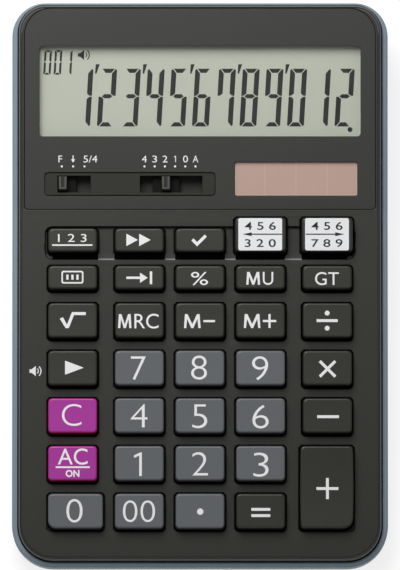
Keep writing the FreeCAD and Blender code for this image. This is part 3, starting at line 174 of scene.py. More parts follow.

# Rubber keypad: its border, the sheet's lower and upper side, and the section of a dome as radius
# and height
KEYPAD = (-53.0, -84.66, 53.0, 23.91)
KEYPAD_CORNER_R = 4.0
SHEET_FOOT = -6.4
SHEET_TOP = -5.6
SHEET_EDGE = 0.1
DOME_HOLE_R = 3.05
DOME = (
    (0, -3.0), (2.15, -3.0), (2.3, -3.12), (2.3, -3.6), (2.5, -3.9), (3.0, -4.6), (3.45, -5.2),
    (3.65, -5.5), (3.7, -5.6), (3.05, -5.6), (2.85, -5.3), (2.4, -4.6), (1.95, -4.15), (1.1, -4.1),
    (1.05, -4.8), (0, -4.85),
)

# Rubber feet: section as radius and height, and how far their middles are from the case's
FOOT = ((0, 0.3), (3.3, 0.3), (3.6, 0.1), (3.8, 0), (4.05, 0), (4.35, 0.12), (4.5, 0.4), (4.5, 2), (0, 2))
FOOT_X = 48.6
FOOT_Y = 80.0

# Camera and light, in metres: the camera leans by VIEW_TILT from straight above to the front, and
# VIEW_LENGTH is the length that its frame sees at the distance of the case
VIEW_TILT = math.radians(8.0)
VIEW_DISTANCE = 2.5
VIEW_LENGTH = 0.19226
VIEW_UP = 0.0029
VIEW_OUT = 0.022
SENSOR_WIDTH = 36.0
LIGHT_WAY = (-0.2, 0.5, 0.84)
LIGHT_DISTANCE = 0.65
LIGHT_SIZE = (0.35, 0.46)
LIGHT_POWER = 3.3
SKY_LEVEL = 0.24
FLOOR_TONE = 0.3
FLOOR_GLOW = 0.8


def tilted(origin, tilt):
    """Matrix from millimetres in a tilted plane of the case to the place on the object."""
    return Matrix.Translation(origin) @ Matrix.Rotation(tilt, 4, "X") @ Matrix.Scale(MM, 4)


keyboard = tilted(Vector((0, 0, FACE_Z)), KEYBOARD_TILT)
display = tilted(keyboard @ Vector((0, CREASE_V, 0)), DISPLAY_TILT)


# Shapes

def alone(piece):
    """Selects one object and nothing else, for the operators that act on the selection."""
    bpy.ops.object.select_all(action="DESELECT")
    piece.select_set(True)
    bpy.context.view_layer.objects.active = piece


def lettering(words, middle, size, weight=0.0):
    """Flat letters, as a mesh that fills a box of the given middle and size."""
    bpy.ops.object.select_all(action="DESELECT")
    bpy.ops.object.text_add()
    piece = bpy.context.active_object
    piece.data.body = words
    piece.data.offset = weight
    piece.data.extrude = 0.5
    piece.data.resolution_u = 8
    bpy.ops.object.convert(target="MESH")
    mesh = piece.data
    low = [min(v.co[i] for v in mesh.vertices) for i in (0, 1)]
    high = [max(v.co[i] for v in mesh.vertices) for i in (0, 1)]
    for vertex in mesh.vertices:
        for i in (0, 1):
            share = (vertex.co[i] - low[i]) / (high[i] - low[i])
            vertex.co[i] = middle[i] + size[i] * (share - 0.5)
    return piece


def drawing(outlines):
    """Flat shape from closed outlines, as a mesh. An outline inside another one is a hole."""
    curve = bpy.data.curves.new("drawing", "CURVE")
    curve.dimensions = "2D"
    curve.fill_mode = "BOTH"
    curve.extrude = 0.5
    for outline in outlines:
        spline = curve.splines.new("POLY")
        spline.points.add(len(outline) - 1)
        for point, (x, y) in zip(spline.points, outline):
            point.co = (x, y, 0, 1)
        spline.use_cyclic_u = True
    piece = bpy.data.objects.new("drawing", curve)
    bpy.context.scene.collection.objects.link(piece)
    alone(piece)
    bpy.ops.object.convert(target="MESH")
    return bpy.context.active_object


def joined(parts):
    """One object from several."""
    alone(parts[0])
    for part in parts:
        part.select_set(True)
    if len(parts) > 1:
        bpy.ops.object.join()
    return bpy.context.active_object


def bar(x, y, width, height):
    """Outline of an upright rectangle round its middle."""
    w, h = width / 2, height / 2
    return [(x - w, y - h), (x + w, y - h), (x + w, y + h), (x - w, y + h)]


def dot(x, y, radius, sides=28):
    """Outline of a round dot."""
    turns = [2 * math.pi * i / sides for i in range(sides)]
    return [(x + radius * math.cos(a), y + radius * math.sin(a)) for a in turns]


def rounded(x, y, width, height, radius, steps=6):
    """Outline of a rectangle with round corners."""
    points = []
    for turn, sx, sy in ((0, 1, 1), (90, -1, 1), (180, -1, -1), (270, 1, -1)):
        for i in range(steps + 1):
            a = math.radians(turn + 90 * i / steps)
            points.append((
                x + sx * (width / 2 - radius) + radius * math.cos(a),
                y + sy * (height / 2 - radius) + radius * math.sin(a),
            ))
    return points


def bow(x, y, radius, thick, half_angle, steps=10):
    """Outline of a bent bar that opens to the left, for the sound waves of a speaker sign."""
    turns = [math.radians(half_angle * (2 * i / steps - 1)) for i in range(steps + 1)]
    outer, inner = (
        [(x + r * math.cos(a), y + r * math.sin(a)) for a in turns]
        for r in (radius + thick / 2, radius - thick / 2)
    )
    return outer + inner[::-1]


def turned(outline, degrees, x=0.0, y=0.0):
    """An outline turned about a point."""
    c, s = math.cos(math.radians(degrees)), math.sin(math.radians(degrees))
    return [(x + (px - x) * c - (py - y) * s, y + (px - x) * s + (py - y) * c) for px, py in outline]


def moved(outline, dx, dy, scale=1.0):
    """An outline scaled about its zero and then moved."""
    return [(dx + x * scale, dy + y * scale) for x, y in outline]


def cross(x, y, width, height, stroke):
    """Outline of a plus sign."""
    w, h, s = width / 2, height / 2, stroke / 2
    corners = [
        (w, -s), (w, s), (s, s), (s, h), (-s, h), (-s, s),
        (-w, s), (-w, -s), (-s, -s), (-s, -h), (s, -h), (s, -s),
    ]
    return [(x + px, y + py) for px, py in corners]


def arrow(x0, x1, y, line, head, width):
    """Outline of a level arrow from its end to its tip."""
    way = 1 if x1 > x0 else -1
    neck = x1 - way * head
    return [
        (x0, y - line / 2), (neck, y - line / 2), (neck, y - width / 2), (x1, y),
        (neck, y + width / 2), (neck, y + line / 2), (x0, y + line / 2),
    ]


def speaker(x, y):
    """Outlines of a speaker with two sound waves."""
    box = [(-2.07, -0.6), (-1.33, -0.6), (0.05, -1.75), (0.05, 1.75), (-1.33, 0.6), (-2.07, 0.6)]
    shapes = [box, bow(-0.3, 0, 1.2, 0.32, 42), bow(-0.3, 0, 2.1, 0.36, 48)]
    return [moved(shape, x, y) for shape in shapes]


def drawn_in(outline, distance):
    """A convex outline made smaller by the same distance on every side."""
    area = sum(a[0] * b[1] - b[0] * a[1] for a, b in zip(outline, outline[1:] + outline[:1]))
    if area < 0:
        outline = outline[::-1]
    points = []
    for before, here, after in zip(outline[-1:] + outline[:-1], outline, outline[1:] + outline[:1]):
        a = (Vector(here) - Vector(before)).normalized()
        b = (Vector(after) - Vector(here)).normalized()
        inward = (Vector((-a.y, a.x)) + Vector((-b.y, b.x))).normalized()
        reach = distance / max(0.2, inward.dot(Vector((-a.y, a.x))))
        points.append(tuple(Vector(here) + inward * reach))
    return points


def digit_bars(w, h, side, thick):
    """The seven bars of a display digit, by the letters that are usual for them."""
    cut = side * CORNER_CUT
    mid = h * DIGIT_WAIST
    half = thick / 2
    middle, inner = w - side / 2, w - side
    right_top = [(w - cut, h), (w, h - cut), (w, mid), (middle, mid), (inner, mid + half), (inner, h - thick)]
    right_foot = [(w, mid), (w, cut), (w - cut, 0), (inner, thick), (inner, mid - half), (middle, mid)]
    return {
        "a": [(cut, h), (w - cut, h), (inner, h - thick), (side, h - thick)],
        "b": right_top,
        "c": right_foot,
        "d": [(w - cut, 0), (cut, 0), (side, thick), (inner, thick)],
        "e": [(w - x, y) for x, y in right_foot],
        "f": [(w - x, y) for x, y in right_top],
        "g": [
            (side / 2, mid), (side, mid + half), (inner, mid + half),
            (middle, mid), (inner, mid - half), (side, mid - half),
        ],
    }


LIT_BARS = {
    "0": "abcdef", "1": "bc", "2": "abged", "3": "abgcd", "4": "fgbc",
    "5": "afgcd", "6": "afgedc", "7": "fabc", "8": "abcdefg", "9": "abcdfg",
}


def number(digits, x, y, pitch, width, height, side, thick, gap):
    """Outlines of the lit bars of a row of display digits, leaning to the right."""
    bars = digit_bars(width, height, side, thick)
    outlines = []
    for i, digit in enumerate(digits):
        for letter in LIT_BARS[digit]:
            shape = drawn_in(bars[letter], gap / 2)
            outlines.append([(x + i * pitch + px + py * DIGIT_SLANT, y + py) for px, py in shape])
    return outlines


def within(box, inset, radius):
    """Outline of a box, given by its sides, drawn in by an inset and with round corners."""
    x0, y0, x1, y1 = box
    return rounded((x0 + x1) / 2, (y0 + y1) / 2, x1 - x0 - 2 * inset, y1 - y0 - 2 * inset, radius)


def cleaned(piece):
    """Merges the doubled corners of a mesh and turns its faces outwards."""
    alone(piece)
    bpy.ops.object.mode_set(mode="EDIT")
    bpy.ops.mesh.select_all(action="SELECT")
    bpy.ops.mesh.remove_doubles(threshold=MERGE_DISTANCE)
    bpy.ops.mesh.normals_make_consistent(inside=False)
    bpy.ops.object.mode_set(mode="OBJECT")


def plate(outlines, name, place, low, high, edge):
    """Flat plate with a small round at its edges, between two heights over a tilted plane."""
    piece = drawing(outlines)
    piece.name = name
    piece.data.name = name
    for vertex in piece.data.vertices:
        vertex.co.z = high if vertex.co.z > 0 else low
    bpy.ops.object.mode_set(mode="EDIT")
    bpy.ops.mesh.select_all(action="SELECT")
    bpy.ops.mesh.remove_doubles(threshold=MERGE_DISTANCE)
    bpy.ops.mesh.dissolve_limited(angle_limit=math.radians(0.5))
    bpy.ops.mesh.select_all(action="SELECT")
    bpy.ops.mesh.normals_make_consistent(inside=False)
    bpy.ops.object.mode_set(mode="OBJECT")
    bevel = piece.modifiers.new("edge", "BEVEL")
    bevel.width = edge
    bevel.segments = 2
    bevel.limit_method = "ANGLE"
    bevel.angle_limit = math.radians(50)
    bpy.ops.object.modifier_apply(modifier="edge")
    piece.data.transform(place)
    return piece


def lay_on(piece, name, node, place, lift):
    """Lays a flat shape on the surface of a CAD node: it is cut into bands, so that it can
    follow the dish of a key, and its upper side then stands out by the lift."""
    alone(piece)
    piece.name = name
    piece.data.name = name
    bpy.ops.object.mode_set(mode="EDIT")
    bpy.ops.mesh.select_all(action="SELECT")
    bpy.ops.mesh.remove_doubles(threshold=MERGE_DISTANCE)
    heights = [v.co.y for v in piece.data.vertices]
    low, high = min(heights), max(heights)
    bands = int((high - low) / PRINT_BAND)
    for i in range(1, bands + 1):
        y = low + (high - low) * i / (bands + 1)
        bpy.ops.mesh.select_all(action="SELECT")
        bpy.ops.mesh.bisect(plane_co=(0, y, 0), plane_no=(0, 1, 0))
    bpy.ops.mesh.select_all(action="SELECT")
    bpy.ops.mesh.normals_make_consistent(inside=False)
    bpy.ops.object.mode_set(mode="OBJECT")
    carrier = nodes[node].data
    points, faces = [v.co for v in carrier.vertices], [p.vertices for p in carrier.polygons]
    tree = BVHTree.FromPolygons(points, faces)
    out = (place.to_3x3() @ Vector((0, 0, 1))).normalized()
    for vertex in piece.data.vertices:
        side = 1 if vertex.co.z > 0 else -1
        spot = place @ Vector((vertex.co.x, vertex.co.y, 0))
        hit = tree.ray_cast(spot + out * LAYING_HEIGHT, -out)[0]
        vertex.co = (hit or spot) + out * (side * lift * MM)
    return piece


# Printed signs

def spot(x, v):
    """Place on the keyboard plane whose own zero is the middle of a key top."""
    return keyboard @ Matrix.Translation((x, v, 0))


DIGIT_WEIGHT = -0.014

# One: the font has a plain bar, so it is drawn with its flag
ONE = [(0.53, -3.97), (1.41, -3.97), (1.41, 3.97), (0.75, 3.97), (-1.41, 2.85), (-1.0, 2.2), (0.53, 2.95)]
ROOT = [
    (-4.35, 0.47), (-3.27, 0.94), (-1.92, -1.52), (-0.24, 2.69), (4.42, 2.69),
    (4.42, 1.68), (0.44, 1.68), (-1.32, -2.71), (-2.4, -2.71),
]
TICK = [(-2.6, 0.2), (-1.9, 0.9), (-0.7, -0.35), (1.9, 2.2), (2.6, 1.5), (-0.7, -1.8)]


def letter_m(x, y, width, height, stroke):
    """Outline of a capital M whose legs stand a little apart at the foot."""
    w, h, t = width / 2, height / 2, stroke
    a = 0.88 * w
    half = [(0.45 * t, -h), (a - 0.95 * t, h - 2.1 * t), (w - t, -h), (w, -h), (a, h), (a - 1.15 * t, h)]
    points = half + [(0, -h + 1.75 * t)] + [(-px, py) for px, py in half[::-1]]
    return moved(points, x, y)


def word(sign, width, height, x, y, weight=0.0):
    """Words of a sign, as what lettering asks for."""
    return sign, (x, y), (width, height), weight


def digit(sign, width, height, x, y):
    """Large figure or letter of a key, a little thinner than the font."""
    return word(sign, width, height, x, y, DIGIT_WEIGHT)


def printed(items):
    """One flat sign from its items: an outline is a list, and words are a tuple."""
    outlines = [item for item in items if isinstance(item, list)]
    parts = [drawing(outlines)] if outlines else []
    return joined(parts + [lettering(*item) for item in items if isinstance(item, tuple)])


# Sign of each key: the middle of the key top and the items of the sign
KEY_PRINTS = {
    "key_0": (ZERO_KEY_X, ROWS[0], [digit("0", 5.45, 7.86, -0.35, 0.03)]),
    "key_00": (COLUMNS[1], ROWS[0], [digit("00", 10.81, 7.27, -0.12, -0.13)]),
    "key_point": (COLUMNS[2], ROWS[0], [dot(0.07, -0.26, 1.08)]),
    "key_equals": (COLUMNS[3], ROWS[0], [bar(0.04, 0.5, 6.37, STROKE), bar(0.04, -1.6, 6.37, STROKE)]),
    "key_all_clear": (COLUMNS[0], ROWS[1], [
        word("AC", 10.0, 5.45, 0.05, 2.2), word("ON", 4.65, 2.35, 0.0, -3.5, 0.03),
        bar(0.03, -1.37, 11.47, 0.58),
    ]),
    "key_1": (COLUMNS[1], ROWS[1], [moved(ONE, -0.57, -0.39)]),
    "key_2": (COLUMNS[2], ROWS[1], [digit("2", 5.42, 7.94, -0.01, -0.3)]),
    "key_3": (COLUMNS[3], ROWS[1], [digit("3", 5.15, 8.08, 0.07, -0.54)]),
    "key_plus": (PLUS_KEY[0], PLUS_KEY[1], [cross(0.19, -0.52, 7.37, 7.11, STROKE)]),
    "key_clear": (COLUMNS[0], ROWS[2], [digit("C", 6.59, 7.34, -0.31, 0.14)]),
    "key_4": (COLUMNS[1], ROWS[2], [digit("4", 5.67, 7.83, -0.09, -0.1)]),
    "key_5": (COLUMNS[2], ROWS[2], [digit("5", 5.06, 8.02, -0.11, -0.3)]),
    "key_6": (COLUMNS[3], ROWS[2], [digit("6", 5.46, 7.88, -0.03, -0.45)]),
    "key_minus": (COLUMNS[4], ROWS[2], [bar(0.24, -0.44, 7.3, STROKE)]),
    "key_backspace": (COLUMNS[0], ROWS[3], [[(-2.56, 2.36), (-2.56, -2.36), (3.74, 0)]]),
    "key_7": (COLUMNS[1], ROWS[3], [digit("7", 5.02, 7.92, -0.34, -0.15)]),
    "key_8": (COLUMNS[2], ROWS[3], [digit("8", 5.29, 8.07, -0.32, 0.04)]),
    "key_9": (COLUMNS[3], ROWS[3], [digit("9", 5.41, 8.04, -0.17, -0.18)]),
    "key_multiply": (COLUMNS[4], ROWS[3], [
        turned(cross(0.07, -0.39, 7.4, 7.4, STROKE), 45, 0.07, -0.39),
    ]),
    "key_square_root": (COLUMNS[0], ROWS[4], [ROOT]),
    "key_memory_recall": (COLUMNS[1], ROWS[4], [
        letter_m(-4.93, -0.37, 4.5, 4.71, 0.74), word("RC", 8.17, 4.99, 2.4, -0.37),
    ]),
    "key_memory_minus": (COLUMNS[2], ROWS[4], [
        letter_m(-2.6, -0.36, 5.6, 4.71, 0.76), bar(3.1, -0.36, 3.9, 0.72),
    ]),
    "key_memory_plus": (COLUMNS[3], ROWS[4], [
        letter_m(-2.87, -0.33, 5.6, 4.71, 0.76), cross(3.0, -0.33, 4.5, 4.7, 0.74),
    ]),
    "key_divide": (COLUMNS[4], ROWS[4], [
        bar(-0.05, -0.19, 7.1, STROKE), dot(-0.05, 2.35, 0.82), dot(-0.05, -2.73, 0.82),
    ]),
    "key_show_steps": (COLUMNS[0], SMALL_ROW, [
        rounded(-0.1, 0, 7.4, 4.3, 0.7), rounded(-0.1, 0, 6.4, 3.3, 0.35),
        *[bar(-0.1 + i * 1.7, 0, 0.75, 1.7) for i in (-1, 0, 1)],
    ]),
    "key_go_to": (COLUMNS[1], SMALL_ROW, [
        arrow(-4.4, 2.8, -0.2, 0.8, 2.6, 3.4), bar(3.9, -0.2, 0.8, 4.3),
    ]),
    "key_percent": (COLUMNS[2], SMALL_ROW, [word("%", 5.73, 4.44, -0.16, -0.44)]),
    "key_markup": (COLUMNS[3], SMALL_ROW, [
        letter_m(-2.49, -0.38, 4.64, 4.31, 0.72), word("U", 3.5, 4.35, 2.5, -0.4),
    ]),
    "key_grand_total": (COLUMNS[4], SMALL_ROW, [word("GT", 8.02, 4.37, -0.11, -0.47)]),
    "key_recheck": (COLUMNS[0], TROUGH_ROW, [
        word("1 2 3", 9.6, 2.7, -0.17, 0.65), bar(-0.17, -1.75, 13.6, 0.5),
    ]),
    "key_auto_review": (COLUMNS[1], TROUGH_ROW, [
        [(-4.4, 2.1), (-4.4, -2.1), (-0.5, 0)], [(-0.1, 2.1), (-0.1, -2.1), (3.8, 0)],
    ]),
    "key_correct": (COLUMNS[2], TROUGH_ROW, [moved(TICK, -0.3, -0.4)]),
}


# Effects that several finishes share

def effect_group(name, inputs, outputs):
    """Empty shader group with named inputs, given as (name, kind, value), and named outputs."""
    group = bpy.data.node_groups.new(name, "ShaderNodeTree")
    for label, kind, value in inputs:
        socket = group.interface.new_socket(name=label, in_out="INPUT", socket_type="NodeSocket" + kind)
        if value is not None:
            socket.default_value = value
    for label, kind in outputs:
        group.interface.new_socket(name=label, in_out="OUTPUT", socket_type="NodeSocket" + kind)
    start = group.nodes.new("NodeGroupInput")
    end = group.nodes.new("NodeGroupOutput")
    return group, start, end


def wire(tree, value, socket):
    """Links an output to an input, or writes a plain value on that input."""
    if isinstance(value, bpy.types.NodeSocket):
        tree.links.new(value, socket)
    elif value is not None:
        socket.default_value = value


def calculate(tree, operation, a, b=None, c=None):
    """Math node on sockets or numbers, as its output."""
    node = tree.nodes.new("ShaderNodeMath")
    node.operation = operation
    for i, value in enumerate((a, b, c)):
        wire(tree, value, node.inputs[i])
    return node.outputs[0]


def vector_math(tree, operation, a, b):
    """Vector Math node on two sockets or values, as its output."""
    node = tree.nodes.new("ShaderNodeVectorMath")
    node.operation = operation
    wire(tree, a, node.inputs[0])
    wire(tree, b, node.inputs["Scale" if operation == "SCALE" else 1])
    return node.outputs["Value" if operation == "DOT_PRODUCT" else "Vector"]


def separated(tree, vector):
    """The X, Y and Z outputs of a vector."""
    node = tree.nodes.new("ShaderNodeSeparateXYZ")
    tree.links.new(vector, node.inputs[0])
    return node.outputs


def clamped(tree, value):
    """A value kept between zero and one."""
    node = tree.nodes.new("ShaderNodeClamp")
    tree.links.new(value, node.inputs["Value"])
    return node.outputs[0]


def mixed_colour(tree, amount, first, second):
    """Mix of two colours by an amount that changes over the surface."""
    node = tree.nodes.new("ShaderNodeMix")
    node.data_type = "RGBA"
    tree.links.new(amount, node.inputs["Factor"])
    wire(tree, first, node.inputs[6])
    wire(tree, second, node.inputs[7])
    return node.outputs[2]


def noise_at(tree, vector, scale, detail, roughness=0.5):
    """Noise texture, as its grey output. The scale is a socket or a number."""
    node = tree.nodes.new("ShaderNodeTexNoise")
    node.inputs["Detail"].default_value = detail
    node.inputs["Roughness"].default_value = roughness
    tree.links.new(vector, node.inputs["Vector"])
    wire(tree, scale, node.inputs["Scale"])
    return node.outputs["Fac"]


def make_moulded_grain():
    """Fine pebbled surface of a moulded part, with the slow unevenness of its mould."""
    group, start, end = effect_group(
        "moulded_grain",
        [("Vector", "Vector", None), ("Grain Size", "Float", 0.0003), ("Depth", "Float", 1.0),
         ("Waviness", "Float", 0.3)],
        [("Height", "Float")],
    )
    scale = calculate(group, "DIVIDE", 1.0, start.outputs["Grain Size"])
    cells = group.nodes.new("ShaderNodeTexVoronoi")
    cells.feature = "SMOOTH_F1"
    group.links.new(start.outputs["Vector"], cells.inputs["Vector"])
    group.links.new(scale, cells.inputs["Scale"])
    pebbles = calculate(group, "MULTIPLY", cells.outputs["Distance"], start.outputs["Depth"])
    waves = noise_at(group, start.outputs["Vector"], calculate(group, "MULTIPLY", scale, 0.06), 2.0)
    waves = calculate(group, "MULTIPLY", waves, start.outputs["Waviness"])
    group.links.new(calculate(group, "ADD", pebbles, waves), end.inputs["Height"])
    return group


def make_uneven_tone():
    """A colour with soft clouds and a fine speckle of lighter and darker places."""
    group, start, end = effect_group(
        "uneven_tone",
        [("Vector", "Vector", None), ("Colour", "Color", (0.5, 0.5, 0.5, 1.0)),
         ("Clouds", "Float", 0.06), ("Cloud Size", "Float", 0.03), ("Speckle", "Float", 0.05),
         ("Speckle Size", "Float", 0.0005)],
        [("Colour", "Color")],
    )
    vector = start.outputs["Vector"]
    amount = 1.0
    for strength, size, detail in (("Clouds", "Cloud Size", 3.0), ("Speckle", "Speckle Size", 1.0)):
        noise = noise_at(group, vector, calculate(group, "DIVIDE", 1.0, start.outputs[size]), detail)
        noise = calculate(group, "SUBTRACT", noise, 0.5)
        spread = calculate(group, "MULTIPLY", start.outputs[strength], 2.0)
        amount = calculate(group, "MULTIPLY_ADD", noise, spread, amount)
    scaled = vector_math(group, "SCALE", start.outputs["Colour"], amount)
    group.links.new(scaled, end.inputs["Colour"])
    return group


def make_uneven_gloss():
    """Roughness that changes a little over the surface, as handling polishes it."""
    group, start, end = effect_group(
        "uneven_gloss",
        [("Vector", "Vector", None), ("Roughness", "Float", 0.6), ("Spread", "Float", 0.08),
         ("Patch Size", "Float", 0.012)],
        [("Roughness", "Float")],
    )
    scale = calculate(group, "DIVIDE", 1.0, start.outputs["Patch Size"])
    patches = calculate(group, "SUBTRACT", noise_at(group, start.outputs["Vector"], scale, 4.0, 0.6), 0.5)
    amount = calculate(group, "MULTIPLY_ADD", patches, start.outputs["Spread"], start.outputs["Roughness"])
    group.links.new(amount, end.inputs["Roughness"])
    return group


def make_brush_lines():
    """Fine lines along X, as rolling or turning leaves them on metal."""
    group, start, end = effect_group(
        "brush_lines",
        [("Vector", "Vector", None), ("Line Width", "Float", 0.0002), ("Depth", "Float", 1.0)],
        [("Height", "Float"), ("Shade", "Float")],
    )
    stretched = vector_math(group, "MULTIPLY", start.outputs["Vector"], (0.03, 1.0, 1.0))
    lines = noise_at(group, stretched, calculate(group, "DIVIDE", 1.0, start.outputs["Line Width"]), 3.0)
    group.links.new(lines, end.inputs["Shade"])
    group.links.new(calculate(group, "MULTIPLY", lines, start.outputs["Depth"]), end.inputs["Height"])
    return group


def make_round_mask():
    """One inside a rectangle with round corners in the X and Y of a vector, zero outside it."""
    group, start, end = effect_group(
        "round_mask",
        [("Vector", "Vector", None), ("Middle", "Vector", None), ("Half Size", "Vector", None),
         ("Corner", "Float", 0.001), ("Softness", "Float", 0.0003)],
        [("Mask", "Float")],
    )
    away = vector_math(group, "SUBTRACT", start.outputs["Vector"], start.outputs["Middle"])
    place = separated(group, away)
    half = separated(group, start.outputs["Half Size"])
    corner = start.outputs["Corner"]
    past = []
    for axis in ("X", "Y"):
        size = calculate(group, "ABSOLUTE", place[axis])
        inner = calculate(group, "SUBTRACT", half[axis], corner)
        past.append(calculate(group, "SUBTRACT", size, inner))
    squares = [calculate(group, "POWER", calculate(group, "MAXIMUM", d, 0.0), 2.0) for d in past]
    outside = calculate(group, "SQRT", calculate(group, "ADD", squares[0], squares[1]))
    inside = calculate(group, "MINIMUM", calculate(group, "MAXIMUM", past[0], past[1]), 0.0)
    distance = calculate(group, "SUBTRACT", calculate(group, "ADD", outside, inside), corner)
    share = calculate(group, "DIVIDE", distance, start.outputs["Softness"])
    group.links.new(clamped(group, calculate(group, "SUBTRACT", 0.5, share)), end.inputs["Mask"])
    return group


def make_depth_shade():
    """Painted shade of walls and gaps under a tilted plane: full light over the edge height, and
    from there down to the foot height a painted shade that gets deeper."""
    group, start, end = effect_group(
        "depth_shade",
        [("Vector", "Vector", None), ("Origin", "Vector", None), ("Out", "Vector", (0.0, 0.0, 1.0)),
         ("Edge", "Float", 0.0), ("Foot", "Float", -0.003), ("Edge Shade", "Float", 0.5),
         ("Foot Shade", "Float", 0.1), ("Softness", "Float", 0.0003)],
        [("Shade", "Float"), ("Height", "Float")],
    )
    away = vector_math(group, "SUBTRACT", start.outputs["Vector"], start.outputs["Origin"])
    height = vector_math(group, "DOT_PRODUCT", away, start.outputs["Out"])
    wall = group.nodes.new("ShaderNodeMapRange")
    group.links.new(height, wall.inputs["Value"])
    for label, limit in (
        ("Foot", "From Min"), ("Edge", "From Max"), ("Foot Shade", "To Min"), ("Edge Shade", "To Max"),
    ):
        group.links.new(start.outputs[label], wall.inputs[limit])
    lit = calculate(group, "SUBTRACT", height, start.outputs["Edge"])
    lit = calculate(group, "DIVIDE", lit, start.outputs["Softness"])
    mix = group.nodes.new("ShaderNodeMix")
    group.links.new(clamped(group, calculate(group, "ADD", lit, 0.5)), mix.inputs["Factor"])
    group.links.new(wall.outputs["Result"], mix.inputs["A"])
    mix.inputs["B"].default_value = 1.0
    group.links.new(mix.outputs[0], end.inputs["Shade"])
    group.links.new(height, end.inputs["Height"])
    return group


moulded_grain = make_moulded_grain()
depth_shade = make_depth_shade()
uneven_tone = make_uneven_tone()
uneven_gloss = make_uneven_gloss()
brush_lines = make_brush_lines()
round_mask = make_round_mask()


# Finishes

def tone(red, green, blue):
    """A colour written as screen values from 0 to 255, as the linear colour that nodes take."""
    linear = []
    for value in (red, green, blue):
        share = value / 255
        linear.append(share / 12.92 if share <= 0.04045 else ((share + 0.055) / 1.055) ** 2.4)
    return (*linear, 1.0)


def surface(name, roughness=0.6, specular=0.3, metallic=0.0):
    """Material of the given name with one Principled surface and Object coordinates."""
    finish = bpy.data.materials.get(name) or bpy.data.materials.new(name)
    finish.use_nodes = True
    tree = finish.node_tree
    tree.nodes.clear()
    out = tree.nodes.new("ShaderNodeOutputMaterial")
    shader = tree.nodes.new("ShaderNodeBsdfPrincipled")
    shader.inputs["Roughness"].default_value = roughness
    shader.inputs["Specular IOR Level"].default_value = specular
    shader.inputs["Metallic"].default_value = metallic
    tree.links.new(shader.outputs[0], out.inputs["Surface"])
    places = tree.nodes.new("ShaderNodeTexCoord")
    return finish, shader, places.outputs["Object"]


def place_effect(finish, group, vector, **values):
    """An effect group in a material, with its own values. Underscores stand for spaces."""
    node = finish.node_tree.nodes.new("ShaderNodeGroup")
    node.node_tree = group
    for label, value in values.items():
        node.inputs[label.replace("_", " ")].default_value = value
    finish.node_tree.links.new(vector, node.inputs["Vector"])
    return node


def add_bump(finish, shader, height, distance):
    """Bump of the given real depth from a height between 0 and about 1."""
    bump = finish.node_tree.nodes.new("ShaderNodeBump")
    bump.inputs["Strength"].default_value = 1.0
    bump.inputs["Distance"].default_value = distance
    finish.node_tree.links.new(height, bump.inputs["Height"])
    finish.node_tree.links.new(bump.outputs[0], shader.inputs["Normal"])


def moulded_plastic(name, colour, roughness, specular, grain, depth, clouds=0.05, speckle=0.05):
    """Matt moulded plastic: pebbled grain, slightly uneven colour and gloss. The grain's size and
    depth are in metres."""
    finish, shader, vector = surface(name, roughness, specular)
    links = finish.node_tree.links
    shade = place_effect(
        finish, uneven_tone, vector, Colour=colour, Clouds=clouds, Speckle=speckle, Speckle_Size=grain * 1.6,
    )
    links.new(shade.outputs["Colour"], shader.inputs["Base Color"])
    gloss = place_effect(finish, uneven_gloss, vector, Roughness=roughness)
    links.new(gloss.outputs["Roughness"], shader.inputs["Roughness"])
    height = place_effect(finish, moulded_grain, vector, Grain_Size=grain)
    add_bump(finish, shader, height.outputs["Height"], depth)
    return finish, shader, vector


def on_plane(finish, vector, place):
    """Object coordinates turned so that X and Y lie in a tilted plane of the case."""
    turn = finish.node_tree.nodes.new("ShaderNodeMapping")
    turn.vector_type = "TEXTURE"
    turn.inputs["Location"].default_value = place.translation
    turn.inputs["Rotation"].default_value = place.to_euler()
    finish.node_tree.links.new(vector, turn.inputs["Vector"])
    return turn.outputs[0]


def height_mask(finish, flat, height, softness):
    """Mask of what lies under a height over a tilted plane, in millimetres."""
    tree = finish.node_tree
    over = separated(tree, flat)["Z"]
    share = calculate(tree, "MULTIPLY_ADD", over, -1 / (softness * MM), height / softness + 0.5)
    return clamped(tree, share)


def window_mask(finish, flat, window, inset, radius, softness=0.12, shift=0.0):
    """Mask of a window in a tilted plane, in millimetres, drawn in by an inset."""
    x0, y0, x1, y1 = window
    mask = place_effect(
        finish, round_mask, flat, Middle=((x0 + x1) / 2 * MM, ((y0 + y1) / 2 + shift) * MM, 0.0),
        Half_Size=(((x1 - x0) / 2 - inset) * MM, ((y1 - y0) / 2 - inset) * MM, 0.0),
        Corner=max(radius - inset, 0.05) * MM, Softness=softness * MM,
    )
    return mask.outputs["Mask"]


def brightened(finish, shader, amount):
    """Multiplies the colour of a finish by an amount that changes over the surface."""
    colour = shader.inputs["Base Color"].links[0].from_socket
    scaled = vector_math(finish.node_tree, "SCALE", colour, amount)
    finish.node_tree.links.new(scaled, shader.inputs["Base Color"])


def tinted(finish, shader, amount, colour):
    """Mixes another colour into a finish, by an amount that changes over the surface."""
    plain = shader.inputs["Base Color"].links[0].from_socket
    mixed = mixed_colour(finish.node_tree, amount, plain, colour)
    finish.node_tree.links.new(mixed, shader.inputs["Base Color"])


def painted_edge_bands(finish, shader, flat, window, radius, steps):
    """Paints bands of another brightness along the border of a window, as painted highlight and shade:
    each step is an inset from its sides, in millimetres, and the brightness outside that inset."""
    for inset, brightness in steps:
        mask = window_mask(finish, flat, window, inset, radius, shift=0.1)
        amount = calculate(finish.node_tree, "MULTIPLY_ADD", mask, 1.0 - brightness, brightness)
        brightened(finish, shader, amount)


